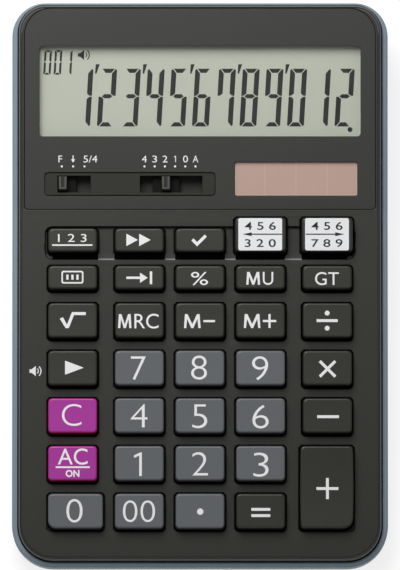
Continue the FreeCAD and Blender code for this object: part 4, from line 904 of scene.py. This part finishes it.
def shaded_below(finish, shader, vector, place, edge, foot, edge_shade, foot_shade, softness=0.3):
    """Paints shade into the colour of a finish under an edge height, in millimetres over a tilted plane."""
    out = (place.to_3x3() @ Vector((0, 0, 1))).normalized()
    shade = place_effect(
        finish, depth_shade, vector, Origin=place.translation, Out=out, Edge=edge * MM, Foot=foot * MM,
        Edge_Shade=edge_shade, Foot_Shade=foot_shade, Softness=softness * MM,
    )
    brightened(finish, shader, shade.outputs["Shade"])


def rolled_metal(name, colour, roughness, line_width, depth):
    """Metal with fine lines, which also change its gloss."""
    finish, shader, vector = surface(name, roughness, 0.5, 1.0)
    links = finish.node_tree.links
    shade = place_effect(finish, uneven_tone, vector, Colour=colour, Clouds=0.08, Cloud_Size=0.004)
    links.new(shade.outputs["Colour"], shader.inputs["Base Color"])
    lines = place_effect(finish, brush_lines, vector, Line_Width=line_width)
    gloss = calculate(finish.node_tree, "MULTIPLY_ADD", lines.outputs["Shade"], 0.2, roughness - 0.1)
    links.new(gloss, shader.inputs["Roughness"])
    add_bump(finish, shader, lines.outputs["Height"], depth)
    return finish


def clear_pane(name, colour, roughness, ior):
    """Clear pane that lets the light of the lamps through to what lies behind it."""
    finish, shader, vector = surface(name, roughness, 0.5)
    tree = finish.node_tree
    shader.inputs["Transmission Weight"].default_value = 1.0
    shader.inputs["IOR"].default_value = ior
    shade = place_effect(finish, uneven_tone, vector, Colour=colour, Clouds=0.01, Speckle=0.0)
    tree.links.new(shade.outputs["Colour"], shader.inputs["Base Color"])
    through = tree.nodes.new("ShaderNodeBsdfTransparent")
    through.inputs["Color"].default_value = colour
    path = tree.nodes.new("ShaderNodeLightPath")
    mix = tree.nodes.new("ShaderNodeMixShader")
    tree.links.new(path.outputs["Is Shadow Ray"], mix.inputs[0])
    tree.links.new(shader.outputs[0], mix.inputs[1])
    tree.links.new(through.outputs[0], mix.inputs[2])
    tree.links.new(mix.outputs[0], tree.nodes["Material Output"].inputs["Surface"])
    return finish


def striped(finish, shader, vector, colour, line_colour, axis, start, pitch, width, softness):
    """Thin lines at equal distances across one axis, in their own colour, and returns their mask."""
    tree = finish.node_tree
    along = calculate(tree, "SUBTRACT", separated(tree, vector)[axis], start - pitch / 2)
    steps = calculate(tree, "DIVIDE", along, pitch)
    inside = calculate(tree, "SUBTRACT", calculate(tree, "FRACT", steps), 0.5)
    away = calculate(tree, "MULTIPLY", calculate(tree, "ABSOLUTE", inside), pitch)
    share = calculate(tree, "DIVIDE", calculate(tree, "SUBTRACT", width / 2, away), softness)
    lines = clamped(tree, calculate(tree, "ADD", share, 0.5))
    tree.links.new(mixed_colour(tree, lines, colour, line_colour), shader.inputs["Base Color"])
    return lines


def make_case_finish():
    """Charcoal face. Its chamfered border gets a painted highlight, the groove beside it is painted
    lighter against its shade, and the front edge of the trough between the keys gets a painted highlight."""
    finish, shader, vector = moulded_plastic(
        "case_charcoal", tone(39, 39, 33), 0.52, 0.5, 0.00028, 0.000012, speckle=0.2,
    )
    tree = finish.node_tree
    flat = on_plane(finish, vector, keyboard)
    # Sunk is what lies under the plane of either slope
    slopes = (flat, on_plane(finish, vector, display))
    sunk = calculate(tree, "MAXIMUM", *[height_mask(finish, slope, -0.06, 0.06) for slope in slopes])
    # Painted light: a lighter tone over the groove, which lies in shade, and a painted highlight on the
    # chamfered border
    for inset, colour in ((GROOVE_LIGHT_END, tone(58, 58, 54)), (FACE_HIGHLIGHT_WIDTH, tone(100, 102, 101))):
        inside = window_mask(finish, vector, FACE_OUTLINE, inset, FACE_CORNER_R)
        border = calculate(tree, "SUBTRACT", 1.0, inside)
        tinted(finish, shader, calculate(tree, "MULTIPLY", border, sunk), colour)
    # Painted highlight along the front edge of the trough, between the keys
    for left, right in TROUGH_GAPS:
        edge = window_mask(finish, flat, (left, TROUGH[1] - 0.1, right, TROUGH[1] + 0.4), 0.0, 0.1)
        tinted(finish, shader, edge, tone(140, 141, 140))


def make_key_finish(name, colour, top, shade_side_colour=None):
    """Smooth key cap whose sides are painted darker towards its well, as painted shade. Its top is at the
    given height in millimetres, and its sides may be painted a deeper colour than its top, as they look in
    shade."""
    key_finish = moulded_plastic(name, colour, 0.36, 0.5, 0.00022, 0.000004, clouds=0.03, speckle=0.1)
    finish, shader, vector = key_finish
    if shade_side_colour:
        # Painted colour of the sides as they look in shade
        sides = height_mask(finish, on_plane(finish, vector, keyboard), top - 0.35, 0.5)
        tinted(finish, shader, sides, shade_side_colour)
    # Painted shade on the sides of the key, deepest at its foot
    shaded_below(*key_finish, keyboard, top - 1.2, 0.0, 0.5, 0.06, 0.5)


def make_knob_finish():
    """Dark switch knob with painted shade in its groove and on its sides, and deeper painted shade where it
    goes down into its slot.
    """
    knob_finish = moulded_plastic("knob_black", tone(92, 93, 87), 0.5, 0.2, 0.00018, 0.000006, clouds=0.03)
    shaded_below(*knob_finish, display, 1.12, 0.4, 0.45, 0.25, 0.08)
    shaded_below(*knob_finish, display, -0.9, -2.0, 0.1, 0.05, 0.1)


def make_film_finish():
    """Front film of the display: a matt grey-green with a fine anti-glare grain, and along its border
    a thin light line of painted highlight, a little painted shade inside it and a dark painted shade at its
    very edge."""
    finish, shader, vector = moulded_plastic(
        "polariser_film", tone(198, 200, 187), 0.5, 0.3, 0.00015, 0.000003, clouds=0.015, speckle=0.02,
    )
    flat = on_plane(finish, vector, display)
    painted_edge_bands(finish, shader, flat, DISPLAY_WINDOW, 1.2, ((0.55, 0.9), (0.4, 1.25), (0.1, 0.12)))


def make_ribbon_finish():
    """Amber film with copper tracks along it."""
    finish, shader, vector = surface("ribbon_amber", 0.3, 0.5)
    shade = place_effect(finish, uneven_tone, vector, Colour=tone(190, 128, 48))
    amber, copper = shade.outputs["Colour"], tone(120, 66, 30)
    lines = striped(finish, shader, vector, amber, copper, "X", 0.0, 0.0016, 0.0008, 0.0001)
    add_bump(finish, shader, lines, 0.00002)


def make_solar_finish():
    """Amorphous solar cell: four brownish fields with thin light lines between them, under glass."""
    finish, shader, vector = surface("solar_brown", 0.35, 0.4)
    shade = place_effect(
        finish, uneven_tone, vector, Colour=tone(198, 168, 155), Clouds=0.03, Cloud_Size=0.01, Speckle=0.03,
    )
    brown, line = shade.outputs["Colour"], tone(208, 182, 168)
    striped(finish, shader, vector, brown, line, "X", 0.0219, 0.0105, 0.00025, 0.0001)
    flat = on_plane(finish, vector, display)
    # Painted highlight: a thin lighter band inside the border of the window, with a dark outline at its very
    # edge
    painted_edge_bands(finish, shader, flat, SOLAR_WINDOW, 0.8, ((0.6, 1.2), (0.25, 0.1)))
    gloss = place_effect(finish, uneven_gloss, vector, Roughness=0.35)
    finish.node_tree.links.new(gloss.outputs["Roughness"], shader.inputs["Roughness"])
    shader.inputs["Coat Weight"].default_value = 0.3
    shader.inputs["Coat Roughness"].default_value = 0.08


def make_board_finish():
    """Green board whose part under the slide switches is printed matt black."""
    finish, shader, vector = surface("board_green", 0.5, 0.3)
    shade = place_effect(finish, uneven_tone, vector, Colour=tone(48, 96, 58), Clouds=0.1, Cloud_Size=0.006)
    finish.node_tree.links.new(shade.outputs["Colour"], shader.inputs["Base Color"])
    mask = place_effect(
        finish, round_mask, vector, Middle=(-0.024, 0.036, 0.0), Half_Size=(0.032, 0.011, 0.0),
    )
    tinted(finish, shader, mask.outputs["Mask"], tone(60, 60, 56))
    weave = place_effect(finish, moulded_grain, vector, Grain_Size=0.0006)
    add_bump(finish, shader, weave.outputs["Height"], 0.00002)


# Finishes of the moulded case, the keys and the pieces inside
make_case_finish()
moulded_plastic("panel_charcoal", tone(46, 46, 42), 0.5, 0.5, 0.00022, 0.000008, speckle=0.2)
moulded_plastic("strip_charcoal", tone(33, 35, 24), 0.5, 0.45, 0.00022, 0.000008, speckle=0.2)
moulded_plastic("case_blue_grey", tone(132, 150, 162), 0.45, 0.4, 0.0004, 0.00001)
make_key_finish("key_grey", tone(102, 105, 108), KEY_TOP)
make_key_finish("key_black", tone(48, 49, 42), KEY_TOP)
make_key_finish("key_magenta", tone(176, 50, 162), KEY_TOP, tone(205, 8, 96))
make_key_finish("key_label", tone(46, 46, 43), LABEL_KEY_TOP)
make_knob_finish()
moulded_plastic("holder_white", tone(222, 222, 216), 0.6, 0.3, 0.0003, 0.00001)
moulded_plastic("keypad_rubber", tone(178, 178, 174), 0.8, 0.2, 0.00025, 0.00001)
moulded_plastic("foot_rubber", tone(52, 52, 52), 0.85, 0.2, 0.0003, 0.00002)
moulded_plastic("resin_black", tone(28, 28, 28), 0.22, 0.5, 0.0012, 0.00006)
moulded_plastic("lead_red", tone(160, 30, 28), 0.4, 0.5, 0.0006, 0.00001)
rolled_metal("spring_metal", tone(200, 196, 188), 0.3, 0.0001, 0.000004)
rolled_metal("screw_steel", tone(186, 186, 188), 0.32, 0.00012, 0.000005)
rolled_metal("cell_steel", tone(206, 206, 206), 0.2, 0.0002, 0.000003)
rolled_metal("buzzer_brass", tone(206, 176, 108), 0.3, 0.00025, 0.000005)
clear_pane("clear_window", (0.97, 0.98, 0.97, 1.0), 0.03, 1.2)
clear_pane("display_glass", (0.9, 0.93, 0.88, 1.0), 0.02, 1.52)
make_film_finish()
make_ribbon_finish()
make_solar_finish()
make_board_finish()

# Inks, labels and lines, and the black of the painted shadow round the trough: almost even in colour
for name, colour, roughness, specular, grain, depth in (
    ("print_white", tone(250, 250, 251), 0.5, 0.3, 0.00012, 0.000004),
    ("print_black", tone(38, 38, 40), 0.5, 0.3, 0.00012, 0.000004),
    ("liquid_crystal", tone(43, 45, 45), 0.5, 0.2, 0.00015, 0.000003),
    ("painted_shadow_black", tone(12, 12, 12), 0.9, 0.0, 0.0002, 0.000004),
    ("label_white", tone(246, 247, 249), 0.45, 0.35, 0.0002, 0.000004),
):
    moulded_plastic(name, colour, roughness, specular, grain, depth, clouds=0.02)

for sub in frame["record"]["subparts"]:
    node = nodes[sub["node"]]
    node.data.materials.clear()
    node.data.materials.append(bpy.data.materials[sub["material_slot"]])

# Light that comes off the display has already been let in through the panes, so it isn't bent by
# them a second time
for name in ("display_window", "lcd_glass"):
    nodes[name].visible_diffuse = False


# Soft edges on the moulded parts

def soften(name, width, segments=2, flatten=True):
    """Rounds the sharp edges of a CAD node a little, as moulding leaves them, by modifiers."""
    node = nodes[name]
    weld = node.modifiers.new("weld", "WELD")
    weld.merge_threshold = 0.000002
    if flatten:
        flat = node.modifiers.new("flat", "DECIMATE")
        flat.decimate_type = "DISSOLVE"
        flat.angle_limit = math.radians(0.5)
    bevel = node.modifiers.new("edge", "BEVEL")
    bevel.width = width
    bevel.segments = segments
    bevel.limit_method = "ANGLE"
    bevel.angle_limit = math.radians(35)
    bevel.use_clamp_overlap = False
    bevel.loop_slide = False
    shading = node.modifiers.new("shading", "WEIGHTED_NORMAL")
    shading.weight = 80
    shading.keep_sharp = False


for name in nodes:
    if name.startswith("key_"):
        soften(name, 0.0002, 3)
soften("rounding_knob", 0.00012)
soften("decimal_knob", 0.00012)
soften("upper_case", 0.00015, flatten=False)
soften("lower_case", 0.0002, flatten=False)
soften("display_panel", 0.0001, flatten=False)


# Signs laid on their carriers

def finish_with(piece, finish, body):
    """Gives a piece its one finish, by name, and lets it move with a body."""
    piece.data.materials.clear()
    piece.data.materials.append(bpy.data.materials[finish])
    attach(piece, body)


for key, (x, v, items) in KEY_PRINTS.items():
    sign = lay_on(printed(items), "print_" + key, key, spot(x, v), PRINT_LIFT)
    finish_with(sign, "print_white", key)

# White labels of two keys: middle of the label, end and tip of the arrow, and the lower numbers
for key, x, middle, tail, tip, low_line in (
    ("key_step_back", COLUMNS[3], -0.12, 7.2, -6.1, "3 2 0"),
    ("key_step_forward", COLUMNS[4], -0.08, -7.2, 5.8, "7 8 9"),
):
    place = spot(x, LABEL_ROW)
    label = drawing([rounded(middle, 0.0, *LABEL_SIZE, LABEL_CORNER_R)])
    finish_with(lay_on(label, "label_" + key, key, place, LABEL_LIFT), "label_white", key)
    sign = printed([
        arrow(tail, tip, 0.05, 0.4, 3.1, 1.3),
        word("4 5 6", 10.5, 2.7, -0.1, 2.85, 0.01), word(low_line, 10.5, 2.7, -0.1, -2.95, 0.01),
    ])
    finish_with(lay_on(sign, "print_" + key, key, place, LABEL_PRINT_LIFT), "print_black", key)

# Display: twelve digits with their marks, the step counter and the speaker sign
dx, dy = MARK_OFFSET
marks = [
    moved(THOUSANDS_MARK, DIGIT_LEFT + dx + i * DIGIT_PITCH, DIGIT_FOOT + dy) for i in MARKED_DIGITS
]
digits = number(
    "123456789012", DIGIT_LEFT, DIGIT_FOOT, DIGIT_PITCH, DIGIT_WIDTH, DIGIT_HEIGHT, DIGIT_SIDE,
    DIGIT_BAR, DIGIT_GAP,
)
count = number(
    "001", COUNT_LEFT, COUNT_FOOT, COUNT_PITCH, COUNT_WIDTH, COUNT_HEIGHT, COUNT_SIDE, COUNT_BAR, COUNT_GAP,
)
for name, outlines in (
    ("display_digits", digits + marks + [dot(*DECIMAL_POINT)]),
    ("display_counter", count + speaker(*DISPLAY_SPEAKER)),
):
    sign = lay_on(drawing(outlines), name, "lcd_polarisers", display, PRINT_LIFT)
    finish_with(sign, "liquid_crystal", "case")

# Strip let into the panel round the two switch slots, with a narrow seam round it
slots = [within(slot, -SLOT_MARGIN, SLOT_CORNER_R) for slot in SWITCH_SLOTS]
border = within(STRIP_WINDOW, STRIP_SEAM, STRIP_CORNER_R)
strip = plate([border] + slots, "switch_strip", display, STRIP_FOOT, STRIP_TOP, STRIP_EDGE)
finish_with(strip, "strip_charcoal", "case")

# Painted shadow: a dark sheet laid round the trough where its walls are in shade, open where the
# front edge shows between the keys and wider in front of each key, where the keys' shadows fall
x, front, rear = TROUGH
loops = []
for out in (TROUGH_SHADOW_WIDTH / 2, -TROUGH_SHADOW_WIDTH / 2):
    loop = within((-x, front, x, rear), -out, TROUGH_CORNER_R + out)
    corner = len(loop) // 4
    loops.append(loop[-corner:] + loop[:-corner])
shadow_sheet = [loops[0] + loops[1][::-1]]
ends = [TROUGH_CORNER_R - x] + [end for gap in TROUGH_GAPS for end in gap] + [x - TROUGH_CORNER_R]
for left, right in zip(ends[::2], ends[1::2]):
    shadow_sheet.append(bar((left + right) / 2, front + TROUGH_SHADOW_REACH / 2, right - left, TROUGH_SHADOW_REACH))
shadow_sheet = joined([drawing([outline]) for outline in shadow_sheet])
finish_with(lay_on(shadow_sheet, "trough_painted_shadow", "upper_case", keyboard, PRINT_LIFT), "painted_shadow_black", "case")

# Signs printed beside the slide switches, and the speaker sign beside the keys
dots = [
    dot(first + pitch * i, SWITCH_DOT_Y, SWITCH_DOT_R, 16) for first, pitch, count in SWITCH_DOTS
    for i in range(count)
]
cut_arrow = turned(moved(arrow(0, 2.4, 0, 0.35, 1.1, 1.4), *CUT_ARROW), -90, *CUT_ARROW)
sign_one = moved(ONE, SWITCH_ONE_X, SWITCH_SIGN_Y, SWITCH_ONE_SCALE)
words = [word(sign, width, height, x, SWITCH_SIGN_Y) for sign, x, width, height in SWITCH_SIGNS]
sign = printed(dots + [cut_arrow, sign_one] + words)
finish_with(lay_on(sign, "print_switches", "display_panel", display, PRINT_LIFT), "print_white", "case")
sign = lay_on(drawing(speaker(0, 0)), "print_speaker", "upper_case", spot(*FACE_SPEAKER), PRINT_LIFT)
finish_with(sign, "print_white", "case")


# Screws and feet

def turned_piece(profile, steps):
    """Body of revolution about the upright line through zero, spun from (radius, height) points
    in millimetres that start and end on that line."""
    bpy.ops.object.select_all(action="DESELECT")
    bpy.ops.mesh.primitive_plane_add(size=1.0, location=(0, 0, 0))
    piece = bpy.context.active_object
    bpy.ops.object.mode_set(mode="EDIT")
    bpy.ops.mesh.select_all(action="SELECT")
    bpy.ops.mesh.merge(type="CENTER")
    bpy.ops.transform.translate(value=(profile[0][0], 0, profile[0][1]))
    for (r, z), (next_r, next_z) in zip(profile, profile[1:]):
        way = (next_r - r, 0, next_z - z)
        bpy.ops.mesh.extrude_region_move(TRANSFORM_OT_translate={"value": way})
    bpy.ops.mesh.select_all(action="SELECT")
    bpy.ops.mesh.spin(steps=steps, angle=2 * math.pi, center=(0, 0, 0), axis=(0, 0, 1))
    bpy.ops.object.mode_set(mode="OBJECT")
    cleaned(piece)
    bpy.ops.object.shade_smooth_by_angle(angle=math.radians(40))
    return piece


def copied_to(piece, places):
    """Copies of a piece at places in millimetres, each with its own mesh, in its stead."""
    copies = []
    for place in places:
        copy = piece.copy()
        copy.data = piece.data.copy()
        copy.data.transform(Matrix.Translation(place))
        bpy.context.scene.collection.objects.link(copy)
        copies.append(copy)
    bpy.data.objects.remove(piece)
    return copies


def made_of(parts, name, node, place=Matrix.Scale(MM, 4)):
    """Joins parts in millimetres to one piece that stands for a CAD node, and returns it."""
    piece = joined(parts)
    piece.name = name
    piece.data.name = name
    piece.data.transform(place)
    finish_with(piece, nodes[node].data.materials[0].name, "case")
    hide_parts(node)
    return piece


def case_screw():
    """Self-tapping screw with a pan head and a cross recess. The lower side of its head is at
    zero, and it points up."""
    tip = HEAD_HEIGHT + SCREW_LENGTH
    profile = [(0, 0), (1.5, 0), (2.05, 0.22), (2.3, 0.7), (2.3, HEAD_HEIGHT), (CORE_R, HEAD_HEIGHT)]
    for i in range(THREAD_TURNS):
        z = HEAD_HEIGHT + THREAD_START + THREAD_PITCH * i
        profile += [(ROOT_R, z), (THREAD_R, z + 0.2), (ROOT_R, z + 0.4)]
    piece = turned_piece(profile + [(0.5, tip - 0.4), (0, tip)], 40)
    recess = drawing([cross(0, 0, RECESS_WIDTH, RECESS_WIDTH, RECESS_STROKE)])
    for vertex in recess.data.vertices:
        low = vertex.co.z < 0
        share = 1.0 if low else RECESS_TAPER
        vertex.co = (vertex.co.x * share, vertex.co.y * share, -0.2 if low else RECESS_DEPTH)
    cleaned(recess)
    cut = piece.modifiers.new("recess", "BOOLEAN")
    cut.operation = "DIFFERENCE"
    cut.solver = "EXACT"
    cut.object = recess
    alone(piece)
    bpy.ops.object.modifier_apply(modifier="recess")
    bpy.data.objects.remove(recess)
    return piece


made_of(copied_to(case_screw(), CASE_SCREWS), "screws_cross_head", "case_screws")
foot_places = [(x, y, 0) for x in (-FOOT_X, FOOT_X) for y in (-FOOT_Y, FOOT_Y)]
made_of(copied_to(turned_piece(FOOT, 56), foot_places), "feet_dished", "rubber_feet")


# Rubber keypad: a sheet with a hole under each key, and a dome in each hole

dome_places = {key: (x, v, 0) for key, (x, v, items) in KEY_PRINTS.items()}
dome_places["key_step_back"] = (COLUMNS[3], LABEL_ROW, 0)
dome_places["key_step_forward"] = (COLUMNS[4], LABEL_ROW, 0)
holes = [dot(x, v, DOME_HOLE_R, 24) for x, v, z in dome_places.values()]
border = within(KEYPAD, 0.0, KEYPAD_CORNER_R)
sheet = plate([border] + holes, "keypad_sheet", keyboard, SHEET_FOOT, SHEET_TOP, SHEET_EDGE)
finish_with(sheet, nodes["keypad_rubber"].data.materials[0].name, "case")
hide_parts("keypad_rubber")
domes = copied_to(turned_piece(DOME, 24), dome_places.values())
for (key, (x, v, z)), dome in zip(dome_places.items(), domes):
    dome = made_of([dome], "dome_" + key, "keypad_rubber", keyboard)
    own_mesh(dome)


# Camera, light and floor

look_up = Vector((0, math.cos(VIEW_TILT), math.sin(VIEW_TILT)))
look_back = Vector((0, -math.sin(VIEW_TILT), math.cos(VIEW_TILT)))
centre = look_up * VIEW_UP + look_back * VIEW_OUT
camera_data = bpy.data.cameras.new("camera")
camera_data.sensor_width = SENSOR_WIDTH
camera_data.lens = SENSOR_WIDTH * VIEW_DISTANCE / VIEW_LENGTH
camera_data.clip_start = 0.1
camera_data.clip_end = 20.0
camera = bpy.data.objects.new("camera", camera_data)
camera.location = centre + look_back * VIEW_DISTANCE
camera.rotation_euler = (VIEW_TILT, 0, 0)
bpy.context.scene.collection.objects.link(camera)
bpy.context.scene.camera = camera
bpy.context.scene.view_settings.view_transform = "Standard"

world = bpy.data.worlds.new("studio")
bpy.context.scene.world = world
world.use_nodes = True
sky = world.node_tree.nodes["Background"]
sky.inputs["Color"].default_value = (1, 1, 1, 1)
sky.inputs["Strength"].default_value = SKY_LEVEL


def make_floor():
    """White floor that keeps the shadow of the object."""
    bpy.ops.object.select_all(action="DESELECT")
    bpy.ops.mesh.primitive_plane_add(size=8.0, location=(0, 0, 0))
    floor = bpy.context.active_object
    floor.name = "floor"
    finish, shader, vector = surface("floor_white", 0.9, 0.1)
    tree = finish.node_tree
    grey = (FLOOR_TONE, FLOOR_TONE, FLOOR_TONE, 1.0)
    shade = place_effect(finish, uneven_tone, vector, Colour=grey, Clouds=0.01, Speckle=0.0)
    tree.links.new(shade.outputs["Colour"], shader.inputs["Base Color"])
    path = tree.nodes.new("ShaderNodeLightPath")
    seen = calculate(tree, "MAXIMUM", path.outputs["Is Camera Ray"], path.outputs["Is Glossy Ray"])
    seen = calculate(tree, "MAXIMUM", seen, path.outputs["Is Transmission Ray"])
    glow = tree.nodes.new("ShaderNodeEmission")
    glow.inputs["Color"].default_value = (1, 1, 1, 1)
    tree.links.new(calculate(tree, "MULTIPLY", seen, FLOOR_GLOW), glow.inputs["Strength"])
    both = tree.nodes.new("ShaderNodeAddShader")
    tree.links.new(shader.outputs[0], both.inputs[0])
    tree.links.new(glow.outputs[0], both.inputs[1])
    tree.links.new(both.outputs[0], tree.nodes["Material Output"].inputs["Surface"])
    floor.data.materials.append(finish)


make_floor()

light_way = Vector(LIGHT_WAY).normalized()
light = bpy.data.lights.new("soft_box", "AREA")
light.shape = "RECTANGLE"
light.size, light.size_y = LIGHT_SIZE
light.energy = LIGHT_POWER
lamp = bpy.data.objects.new("soft_box", light)
lamp.location = light_way * LIGHT_DISTANCE
lamp.rotation_euler = (-light_way).to_track_quat("-Z", "Y").to_euler()
bpy.context.scene.collection.objects.link(lamp)
